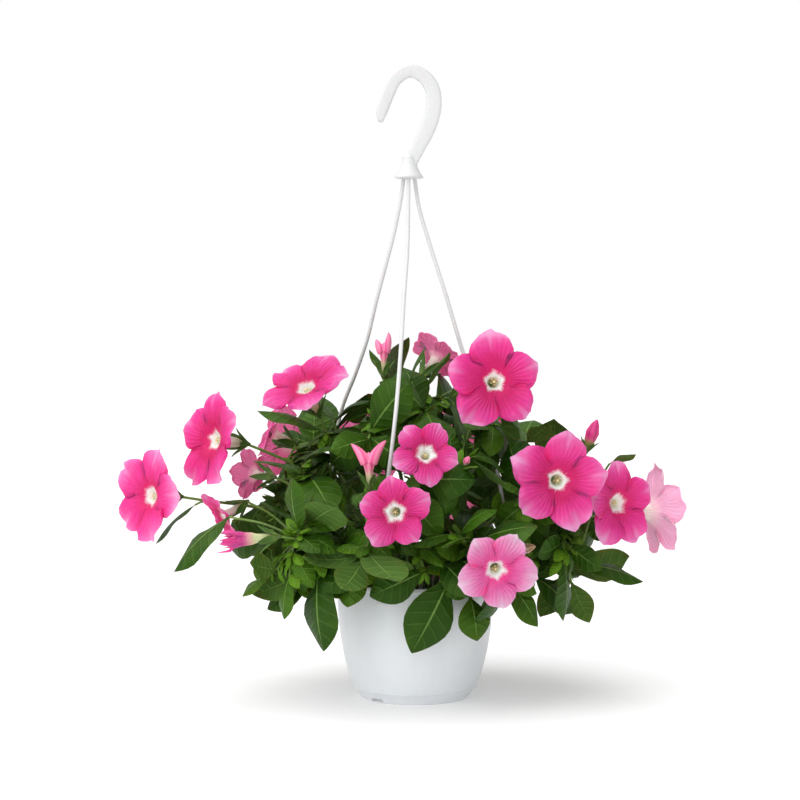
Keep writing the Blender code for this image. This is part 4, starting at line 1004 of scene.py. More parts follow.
@dataclass
class Hanger:
    """White hanger: flat hook with a raised face, bell foot and three stiff strands with snap ends."""

    pot: Pot
    tubes: GeometryTree
    depth: float = 0.0080
    # Powers that round the hook's section and the pads, and where the hook's tip narrows and how much
    hook_corners: tuple[float, float] = (0.42, 0.50)
    pad_corners: tuple[float, float] = (0.45, 0.45)
    hook_caps: tuple[tuple[float, float], ...] = ((-0.92, 0.30), (-0.72, 0.68), (-0.38, 0.92))
    strand_radius: float = 0.0019
    pin_radius: float = 0.0019
    knob_radius: float = 0.0036
    lip_gap: float = 0.0003
    pad: tuple[float, float, float] = (0.0110, 0.0028, 0.0095)
    # Places through a pad's depth, and its width there
    pad_levels: tuple[tuple[float, float], ...] = ((-1.0, 0.80), (-0.75, 0.95), (0.0, 1.0), (0.7, 0.94),
                                                   (1.0, 0.78))
    bell_centre: tuple[float, float] = (-0.0058, -0.0020)
    bell_top: float = 0.5180
    bell_bottom: float = 0.4985
    bell_radii: tuple[float, float] = (0.0062, 0.0140)
    bell_flare: float = 1.9
    bell_steps: int = 12
    bell_sides: int = 56
    hook_steps: int = 96
    hook_sides: int = 28
    pad_sides: int = 24
    pin_sides: int = 20
    knob_steps: int = 12
    strand_steps: int = 72
    strand_sides: int = 16
    # Middle line of the hook from its tip to the bell: x, z and half its width, in millimetres
    hook_line: tuple[tuple[float, float, float], ...] = (
        (-32.8, 553.5, 3.2), (-31.6, 562.0, 5.6), (-24.6, 580.0, 5.9), (-17.5, 592.6, 6.0),
        (-4.3, 599.6, 6.1), (8.6, 594.0, 6.6), (16.4, 582.6, 7.1), (18.0, 567.8, 7.4),
        (15.6, 555.2, 7.6), (10.4, 541.0, 7.3), (2.8, 526.0, 6.6), (-4.6, 511.5, 6.2))
    # Routes of the strands from the bell to the rim, in millimetres
    strands: tuple[tuple[tuple[float, float, float], ...], ...] = (
        ((-6.2, -7.5, 500), (-6.6, -12, 470), (-7.4, -24, 430), (-10.8, -45, 381), (-13.6, -66, 335),
         (-17.2, -84, 288), (-21.4, -96, 248), (-25.4, -101, 215), (-28.8, -99, 175), (-31.6, -90, 138),
         (-32.6, -80.5, 116)),
        ((-0.8, 1.5, 500), (3.8, 1.5, 470), (12.4, 0, 440), (21.8, -3, 410), (31, -6, 381), (45, -8, 334),
         (60, -8, 290), (74, -6, 240), (84, -1, 190), (86, 4, 150), (80.6, 7, 118)),
        ((-10.6, 1.5, 500), (-14.2, 2, 475), (-21.8, 6, 439), (-37, 17, 382), (-46, 27, 345),
         (-58, 37, 310), (-71.5, 44, 275), (-79, 51, 235), (-78, 60, 190), (-65, 67, 148), (-49, 66.5, 118)))

    @property
    def pad_away(self) -> float:
        """Distance of a pad's middle from the pot's axis."""
        return self.pot.rim_radius + self.pot.lip_proud + self.lip_gap + self.pad[1] / 2

    def hook(self) -> Shape:
        """Hook: a rounded section swept along its middle line, narrowed at its tip."""
        line = smooth_path([Vector(row) * MM for row in self.hook_line], self.hook_steps)
        section = [squared(math.tau * k / self.hook_sides, *self.hook_corners)
                   for k in range(self.hook_sides)]
        shape, rows, caps = Shape(), [], self.hook_caps
        start = (line[0] - line[1]).normalized()
        tips = [Vector((line[0].x, line[0].y, 0)) + Vector((start.x, start.y, 0)) * line[0].z * -a
                for a, _ in caps]
        for i, here in enumerate([*tips, *line]):
            k = max(i - len(tips), 0)
            ahead = line[min(k + 1, len(line) - 1)] - line[max(k - 1, 0)]
            side = Vector((-ahead.y, 0, ahead.x)).normalized()
            half = line[0].z * caps[i][1] if i < len(tips) else here.z
            deep = self.depth / 2 * (caps[i][1] if i < len(tips) else 1.0)
            place = Vector((here.x, self.bell_centre[1], here.y))
            rows.append([shape.add(place + side * half * a + Vector((0, deep * b, 0))) for a, b in section])
        shape.grid(rows, closed=True)
        for ring in (rows[0][::-1], rows[-1]):
            middle = shape.add(sum((shape.points[n] for n in ring), Vector()) / len(ring))
            shape.faces += [(middle, ring[k], ring[(k + 1) % len(ring)]) for k in range(len(ring))]
        return shape

    def bell(self) -> Shape:
        """Bell under the hook, with its lip and a shallow dish below."""
        small, large = self.bell_radii
        top, bottom = self.bell_top, self.bell_bottom
        profile = [(0, bottom - 1.6 * MM), (large * 0.6, bottom - 1.4 * MM),
                   (large - 1.2 * MM, bottom - 1.0 * MM), (large - 0.3 * MM, bottom - 0.6 * MM),
                   (large, bottom)]
        for i in range(1, self.bell_steps + 1):
            share = 1 - i / self.bell_steps
            wide = small + (large - small) * share ** self.bell_flare
            profile.append((wide, top - (top - bottom) * share))
        profile += [(small * 0.8, top + 1.6 * MM), (small * 0.5, top + 2 * MM), (0, top + 2 * MM)]
        return lathe(profile, self.bell_sides).place(Matrix.Translation((*self.bell_centre, 0)))

    def strand_end(self, angle: float) -> Shape:
        """Rounded pad outside the wall, the pin through it and the knob inside."""
        out, level, radius = facing(angle, 0), UP * self.pot.strand_height, self.knob_radius
        inner = self.pot.wall_radius(self.pot.strand_height) - self.pot.wall - radius
        width, depth, tall = (n / 2 for n in self.pad)
        shape = Shape()
        rows = []
        ring = [squared(math.tau * k / self.pad_sides, *self.pad_corners) for k in range(self.pad_sides)]
        for place, size in self.pad_levels:
            rows.append([shape.add(Vector((c * width * size, s * tall * size, depth * place)))
                         for c, s in ring])
        shape.grid(rows, closed=True)
        shape.faces += [tuple(reversed(rows[0])), tuple(rows[-1])]
        shape.place(column_frame(out * self.pad_away + level, UP.cross(out), UP, out))
        pin = rod(self.pin_radius, 0, self.pad_away - inner, self.pin_sides)
        shape.join(pin.place(axis_frame(out * inner + level, out, 0)))
        angles = [math.pi * i / self.knob_steps for i in range(self.knob_steps + 1)]
        ball = lathe([(radius * math.sin(a), -radius * math.cos(a)) for a in angles], self.pin_sides)
        return shape.join(ball.place(Matrix.Translation(out * (inner - 0.3 * MM) + level)))

    def dress(self) -> None:
        """Build the solid pieces and the strands and let the first stand for the hanger's node."""
        body = self.hook().join(self.bell())
        paths = []
        for route, angle in zip(self.strands, self.pot.strand_angles):
            body.join(self.strand_end(angle))
            pad = facing(angle, 0) * self.pad_away + UP * (self.pot.strand_height + self.pad[2] / 4)
            path = smooth_path([Vector(point) * MM for point in route] + [pad], self.strand_steps)
            paths.append((path, self.strand_radius, self.strand_radius))
        made = body.object("hanger_body", HOOK_PLASTIC)
        strands = path_object("hanger_strands", paths)
        self.tubes.apply(strands, Sides=self.strand_sides, Hairs=0.0, Hair_Length=0.0005, Seed=0,
                         Skin=HOOK_PLASTIC.make(), Down=HOOK_PLASTIC.make())
        settle(made, ["hanger"])
        settle(strands)


def path_object(name: str, paths: Sequence[tuple[Sequence[Vector], float, float]]) -> bpy.types.Object:
    """Object of loose edges along paths, with how thick each is from its start to its end."""
    points, edges, girth, along = [], [], [], []
    for path, first, last in paths:
        start = len(points)
        points += [tuple(point) for point in path]
        edges += [(start + i, start + i + 1) for i in range(len(path) - 1)]
        shares = [i / (len(path) - 1) for i in range(len(path))]
        girth += [first + (last - first) * share for share in shares]
        along += shares
    mesh = bpy.data.meshes.new(name)
    mesh.from_pydata(points, edges, [])
    set_values(mesh, "girth", girth)
    set_values(mesh, "along", along)
    return add_object(name, mesh)


# Blooms and buds


class Condition(Enum):
    """State of a bloom or bud."""

    FRESH = "fresh"
    PALE = "pale"
    FADED = "faded"
    WILTED = "wilted"
    SPENT = "spent"


PETALS = {Condition.FRESH: PETAL, Condition.PALE: PALE_PETAL, Condition.FADED: FADED_PETAL,
          Condition.WILTED: WILTED_PETAL}
BUD_SURFACES = {Condition.FRESH: BUD, Condition.FADED: DARK_BUD, Condition.SPENT: SPENT_BUD}


@dataclass(frozen=True)
class Bloom:
    """One bloom: its eye in millimetres, how it faces and closes in degrees, its diameter in millimetres."""

    name: str
    eye: tuple[float, float, float]
    turn: float
    lift: float
    diameter: float
    close: float
    roll: float
    stem: int
    condition: Condition = Condition.FRESH

    @property
    def radius(self) -> float:
        """Radius of the open flower, in metres."""
        return self.diameter * MM / 2

    @property
    def calyx_place(self) -> Vector:
        """Place behind the bloom where its calyx ends."""
        return Vector(self.eye) * MM - facing(self.turn, self.lift) * (self.radius * 0.72 + 1.2 * MM)

    @property
    def calyx_length(self) -> float:
        """Length of the calyx lobes."""
        return 0.0210


@dataclass
class Corolla:
    """Five overlapping wavy petals on a funnel throat and a tapering tube."""

    bloom: Bloom
    petals: int = 5
    thickness: float = 0.0005
    tube_share: float = 0.72
    tube_end: float = 0.0017
    mouth: float = 0.17
    mouth_drop: float = 0.060
    joined: float = 0.38
    notch: float = 0.73
    rim_share: float = 0.905
    overlap: float = 0.19
    # Diameter in millimetres whose pale eye keeps its share of the bloom
    eye_diameter: float = 80.0
    columns: tuple[float, ...] = (-1, -0.88, -0.72, -0.54, -0.36, -0.20, -0.07, 0.07, 0.20, 0.36, 0.54, 0.72,
                                  0.88, 1)
    rows: tuple[float, ...] = (0, 0.12, 0.24, 0.36, 0.48, 0.60, 0.71, 0.81, 0.89, 0.95, 0.985, 1)
    tube_rows: tuple[float, ...] = (0.0, 0.05, 0.12, 0.25, 0.42, 0.58, 0.70, 0.79, 0.87, 0.94, 1.0)
    funnel_rows: tuple[float, ...] = (0.19, 0.22, 0.26, 0.31, 0.38)

    def __post_init__(self) -> None:
        """Draw this bloom's own irregularities."""
        draw = random.Random(f"{SEED}{self.bloom.name}")
        self.phases = [draw.uniform(0, math.tau) for _ in range(3 * self.petals)]
        self.tilts = [draw.uniform(-1, 1) for _ in range(self.petals)]
        self.twists = [draw.uniform(-1, 1) for _ in range(self.petals)]
        self.lengths = [1 + draw.uniform(-0.08, 0.045) for _ in range(self.petals)]
        self.turns = [math.radians(draw.uniform(-6.0, 6.0)) for _ in range(self.petals)]
        self.leans = [draw.uniform(-0.22, 0.22) for _ in range(self.petals)]
        self.crumple = 3.0 if self.bloom.condition is Condition.WILTED else 1.0

    def lift(self, share: float, petal: int, across: float, along: float) -> float:
        """Height of the limb over its cone, as a share of the radius; along runs from 0 to 1 on a petal."""
        side, free = abs(across), max(share - self.joined, 0.0)
        first, second, third = (self.phases[petal + self.petals * n] for n in range(3))
        centre = 0.010 + 0.030 * math.cos(math.pi * side)
        edge = -0.0075 - 0.030 * math.cos(math.tau * min(side, 1.0))
        height = centre * smooth(self.mouth, 0.58, share) + (edge - centre) * smooth(0.58, 1.0, share)
        # One edge of each petal lies over the next one, and each petal tilts and twists
        height += 0.034 * across * smooth(0, 0.30, free)
        height += (0.16 * self.tilts[petal] + 0.17 * self.twists[petal] * across) * free
        # Ruffles, the rim curled back, the groove along the middle and the fall into the mouth
        wave = (math.sin(across * 3.6 + first) + 0.7 * math.sin(across * 7.9 + second)
                + 0.45 * math.sin(across * 14.0 + third) * smooth(0.6, 1.0, along))
        height += (0.027 + 0.0004 * self.bloom.close) * self.crumple * wave * smooth(0.45, 1.0, share)
        height -= 0.040 * smooth(0.72, 1.0, along) ** 2 * (1 + 0.8 * math.sin(across * 2 + first))
        height -= 0.026 * math.exp(-(across / 0.12) ** 2) * smooth(0.22, 0.6, share)
        return height - self.mouth_drop * smooth(0.36, self.mouth, share)

    def point(self, share: float, angle: float, petal: int, across: float, along: float = 0.0) -> Vector:
        """Place of a point of the limb."""
        radius = self.bloom.radius
        close = math.radians(self.bloom.close)
        reach = (share - self.mouth) * radius
        out = self.mouth * radius + reach * math.cos(close)
        if self.crumple > 1:
            fold = math.sin(3 * angle + 5 * share + self.phases[0]) + math.sin(7 * angle - 9 * share)
            out *= 1 + 0.16 * fold * smooth(0.3, 0.8, share)
        return polar(out, angle, reach * math.sin(close) + self.lift(share, petal, across, along) * radius)

    def rim(self, petal: int, across: float) -> float:
        """How far a petal reaches at a place across it, with its small point in the middle."""
        side = abs(across)
        middle = abs(across - self.leans[petal] * (1 - side))
        reach = self.notch + (self.rim_share - self.notch) * (1 - side ** 3.0) + 0.090 * (1 - middle) ** 1.7
        reach += 0.030 * math.exp(-(middle / 0.08) ** 2)
        reach += (1 - side) * (0.020 * math.sin(across * 8 + self.phases[petal])
                               + 0.010 * math.sin(across * 17 + self.phases[petal + self.petals]))
        return reach * self.lengths[petal]

    def girth(self, share: float) -> float:
        """Radius of the tube at a share of its length: narrow, then wide open at the mouth."""
        grown = 0.40 * smooth(0, 0.35, share) + 0.06 * share + 0.54 * share ** 5
        return self.tube_end + (self.mouth * self.bloom.radius - self.tube_end) * grown

    def funnel(self, shape: Shape) -> list[int]:
        """Add the tube and the joined part of the limb, and return the numbers of its last ring."""
        half, radius = math.pi / self.petals, self.bloom.radius
        length = radius * self.tube_share
        angles = [(2 * p * half + across * half, p, across)
                  for p in range(self.petals) for across in self.columns[:-1]]
        rows = [[shape.add(Vector((0, 0, -length)), reach=-1.0)] * len(angles)]
        for share in self.tube_rows:
            girth, height = self.girth(share), -length + (length - self.mouth_drop * radius) * share
            rows.append([shape.add(polar(girth, a, height), reach=share * (1 + self.mouth) - 1, across=c)
                         for a, _, c in angles])
        for share in self.funnel_rows:
            rows.append([shape.add(self.point(share, a, p, c), reach=share, across=c) for a, p, c in angles])
        shape.grid(rows, closed=True)
        return rows[-1]

    def petal(self, shape: Shape, number: int, inner: Sequence[int]) -> None:
        """Add one petal outside the ring where the petals are joined."""
        half, segments = math.pi / self.petals, len(self.columns) - 1
        rows = [[inner[(number * segments + i) % len(inner)] for i in range(segments + 1)]]
        for p in self.rows[1:]:
            line = []
            for across in self.columns:
                share = self.joined + (self.rim(number, across) - self.joined) * p
                spread = 1 + self.overlap * math.sin(math.pi * min(p, 1.0) ** 1.15) ** 0.8
                angle = 2 * number * half + across * half * spread + self.turns[number] * smooth(0, 0.5, p)
                point = self.point(share, angle, number, across, p)
                line.append(shape.add(point, reach=share, across=across))
            rows.append(line)
        shape.grid(rows)

    def build(self) -> Shape:
        """Closed shape of the corolla in its own frame, eye at the origin, facing +Z."""
        shape = Shape()
        inner = self.funnel(shape)
        for number in range(self.petals):
            self.petal(shape, number, inner)
        # The rows run round so that their faces point backwards, and the sheet is thickened from its front
        shape.faces = [face[::-1] for face in shape.faces]
        return shape.thicken(self.thickness)

    def pistil(self) -> Shape:
        """Style with its flattened stigma, and anthers round it, down in the throat."""
        radius = self.bloom.radius
        depth, wide, away = -0.09 * radius, 0.030 * radius, self.mouth * radius * 0.34
        knob = [(0, -0.7), (0.75, -0.4), (1.0, 0), (0.7, 0.4), (0.25, 0.3), (0, 0.15)]
        shape = lathe([(x * wide, z * wide) for x, z in knob], 14).place(Matrix.Translation((0, 0, depth)))
        shape.join(rod(0.4 * MM, -radius * 0.5, depth - 0.3 * MM, 8))
        for k in range(self.petals):
            place = polar(away, math.tau * (k + 0.5) / self.petals, depth - 0.045 * radius)
            grain = [(0, -1.0), (0.55, -0.3), (0.5, 0.3), (0, 0.9)]
            shape.join(lathe([(x * wide, z * wide) for x, z in grain], 8).place(Matrix.Translation(place)))
        return shape

    def dress(self) -> None:
        """Build the bloom in its place and let it stand for its node."""
        bloom = self.bloom
        placement = axis_frame(Vector(bloom.eye) * MM, facing(bloom.turn, bloom.lift), bloom.roll)
        shape = self.build()
        draw = random.Random(f"tint{bloom.name}")
        shape.values["tint"] = [draw.uniform(-0.6, 0.6)] * len(shape.points)
        shape.values["span"] = [bloom.diameter / self.eye_diameter] * len(shape.points)
        made = shape.place(placement).object(f"{bloom.name}_petals", PETALS[bloom.condition])
        settle(made, [bloom.name])
        settle(self.pistil().place(placement).object(f"{bloom.name}_pistil", POLLEN))


@dataclass(frozen=True)
class Bud:
    """One bud: its base in millimetres, how its axis turns and lifts, its length and widest radius."""

    name: str
    base: tuple[float, float, float]
    turn: float
    lift: float
    length: float
    radius: float
    stem: int
    condition: Condition = Condition.FRESH
    # Where the two lobes of an opening bud end: to the side and up, in shares of the length
    tips: tuple[tuple[float, float], ...] = ()
    sides: int = 40
    steps: int = 22
    lobe_sides: int = 20
    lobe_steps: int = 14
    # Shares of the length and of the radius, from the base to the closed tip
    closed: tuple[tuple[float, float], ...] = ((0.0, 0.22), (0.30, 0.80), (0.58, 1.0), (0.82, 0.62),
                                               (1.0, 0.0))
    opening: tuple[tuple[float, float], ...] = ((0.0, 0.26), (0.34, 0.52), (0.60, 0.98), (0.66, 0.70),
                                                (0.78, 0.0))

    @property
    def calyx_place(self) -> Vector:
        """Place behind the bud where its calyx ends."""
        return Vector(self.base) * MM - facing(self.turn, self.lift) * 0.3 * MM

    @property
    def calyx_length(self) -> float:
        """Length of the calyx lobes."""
        return 0.45 * self.length

    def furled(self, levels: Sequence[tuple[float, float]]) -> Shape:
        """Closed shape of furled petals: pleats that wind towards the tip.

        Args:
            levels: Shares of the length and of the widest radius, from the base to the closed tip.

        Returns:
            The shape, its base at the origin.
        """
        shape = Shape()
        rows = [[shape.add(Vector(), reach=0.0)] * self.sides]
        top = levels[-1][0]
        for i in range(self.steps):
            share = top * i / self.steps
            k = max(n for n, (at, _) in enumerate(levels[:-1]) if at <= share)
            (a, wide_a), (b, wide_b) = levels[k], levels[k + 1]
            t = (share - a) / (b - a)
            wide = wide_a + (wide_b - wide_a) * t if wide_b else wide_a * (1 - t) ** 0.8
            row = []
            for n in range(self.sides):
                angle = math.tau * n / self.sides
                pleat = 0.5 - 0.5 * math.cos(5 * angle + 3.2 * share)
                girth = self.radius * wide * (1 - 0.16 * pleat * smooth(0.15, 0.5, share))
                row.append(shape.add(polar(girth, angle, self.length * share), reach=share, pleat=pleat))
            rows.append(row)
        rows.append([shape.add(Vector((0, 0, self.length * top)), reach=top)] * self.sides)
        shape.grid(rows, closed=True)
        return shape

    def lobe(self, tip: tuple[float, float]) -> Shape:
        """One petal of an opening bud, folded along its middle and curled outwards to its tip."""
        shape = Shape()
        rows = []
        turn = math.copysign(1.0, tip[0])
        start = Vector((turn * 0.30 * self.radius, 0, 0.52 * self.length))
        end = Vector((tip[0] * self.length, 0, tip[1] * self.length))
        bend = Vector((turn * 0.9 * self.radius, 0, start.z + 0.62 * (end.z - start.z)))
        for i in range(self.lobe_steps + 1):
            t = i / self.lobe_steps
            centre, out = bow(start, bend, end, t)
            wide = self.radius * (0.85 * (1 - t ** 1.8) + 0.42 * math.sin(math.pi * t ** 0.8)) + 0.2 * MM
            deep = self.radius * 0.74 * (1 - t ** 1.5) ** 0.8 + 0.25 * MM
            row = []
            for n in range(self.lobe_sides):
                angle = math.tau * n / self.lobe_sides
                c, s = math.cos(angle), math.sin(angle)
                fold = (0.35 - s * s) * wide * 0.45 * t
                row.append(shape.add(centre + out * (turn * (deep * c + fold)) + Vector((0, wide * s, 0)),
                                     reach=0.50 + 0.5 * t, pleat=0.5 + 0.5 * math.cos(4 * angle + 2 * t)))
            rows.append(row)
        shape.grid(rows if turn < 0 else [row[::-1] for row in rows], closed=True)
        shape.faces += [tuple(cap if turn > 0 else cap[::-1]) for cap in (rows[0], rows[-1][::-1])]
        return shape

    def dress(self) -> None:
        """Build the bud in its place, its axis along +Z at first, and let it stand for its node."""
        shape = self.furled(self.opening if self.tips else self.closed)
        for tip in self.tips:
            shape.join(self.lobe(tip))
        direction = facing(self.turn, self.lift)
        side = Vector((0, 1, 0)).cross(direction).normalized()
        shape.place(column_frame(Vector(self.base) * MM, side, direction.cross(side), direction))
        settle(shape.object(f"{self.name}_furled", BUD_SURFACES[self.condition]), [self.name])


# Name, eye, turn, lift, diameter, how far it closes, roll, stem and condition
BLOOMS = (
    Bloom("bloom_01", (-251, -40, 196), -46, 4, 94, 12, 0, 1),
    Bloom("bloom_02", (-190, -50, 250), -52, 8, 98, 10, 20, 2),
    Bloom("bloom_03", (-104, -34, 300), -30, 50, 94, 8, 10, 3),
    Bloom("bloom_04", (-138, 22, 252), -85, 25, 56, 15, 30, 4),
    Bloom("bloom_05", (-153, -18, 215), -125, 4, 54, 20, 5, 4),
    Bloom("bloom_06", (-180, -36, 177), -68, -30, 57, 15, 40, 5),
    Bloom("bloom_07", (-151, -100, 162), -88, -4, 60, 82, 0, 5, Condition.WILTED),
    Bloom("bloom_08", (22, 44, 325), 128, 42, 66, 14, 15, 7),
    Bloom("bloom_09", (73, -74, 305), 5, 6, 93, 8, 21, 8),
    Bloom("bloom_10", (9, -118, 241), 8, 28, 66, 10, 55, 9),
    Bloom("bloom_11", (-19, -142, 190), -6, 2, 71, 9, 22, 11),
    Bloom("bloom_12", (130, -98, 215), 4, 2, 93, 9, 6, 12),
    Bloom("bloom_13", (189, -62, 191), 34, 2, 83, 12, 16, 13),
    Bloom("bloom_14", (226, -14, 179), 112, 0, 94, 22, 10, 14, Condition.FADED),
    Bloom("bloom_15", (72, -130, 137), 6, -8, 77, 8, 60, 15, Condition.PALE),
    Bloom("bloom_16", (-128, 112, 238), -136, 14, 80, 10, 0, 16),
    Bloom("bloom_17", (-42, 150, 236), -168, 16, 88, 9, 25, 17),
    Bloom("bloom_18", (62, 138, 258), 160, 24, 78, 10, 10, 18),
    Bloom("bloom_19", (148, 104, 206), 128, 10, 88, 11, 30, 19),
    Bloom("bloom_20", (-84, 172, 158), -160, -6, 70, 12, 15, 20),
    Bloom("bloom_21", (44, 182, 168), 172, -4, 84, 9, 5, 21),
)
# Name, base, turn, lift, length, radius, stem and condition
BUDS = (
    Bud("bud_1", (-42, -116, 212), -20, 86, 0.039, 0.0072, 10, tips=((-0.40, 0.98), (0.41, 1.04))),
    Bud("bud_2", (-30, -30, 312), 5, 86, 0.037, 0.0054, 6, tips=((-0.19, 0.86), (0.12, 1.04))),
    Bud("bud_3", (159, -58, 241), 62, 68, 0.031, 0.0066, 12, Condition.FADED),
    Bud("bud_4", (92, -98, 151), 62, 14, 0.020, 0.0050, 15, Condition.SPENT),
    Bud("bud_5", (44, -98, 229), 40, 50, 0.011, 0.0034, 9),
    Bud("bud_6", (-16, 106, 276), 175, 70, 0.034, 0.0062, 18),
)
FLOWERS = (*BLOOMS, *BUDS)


# Stems and leaves

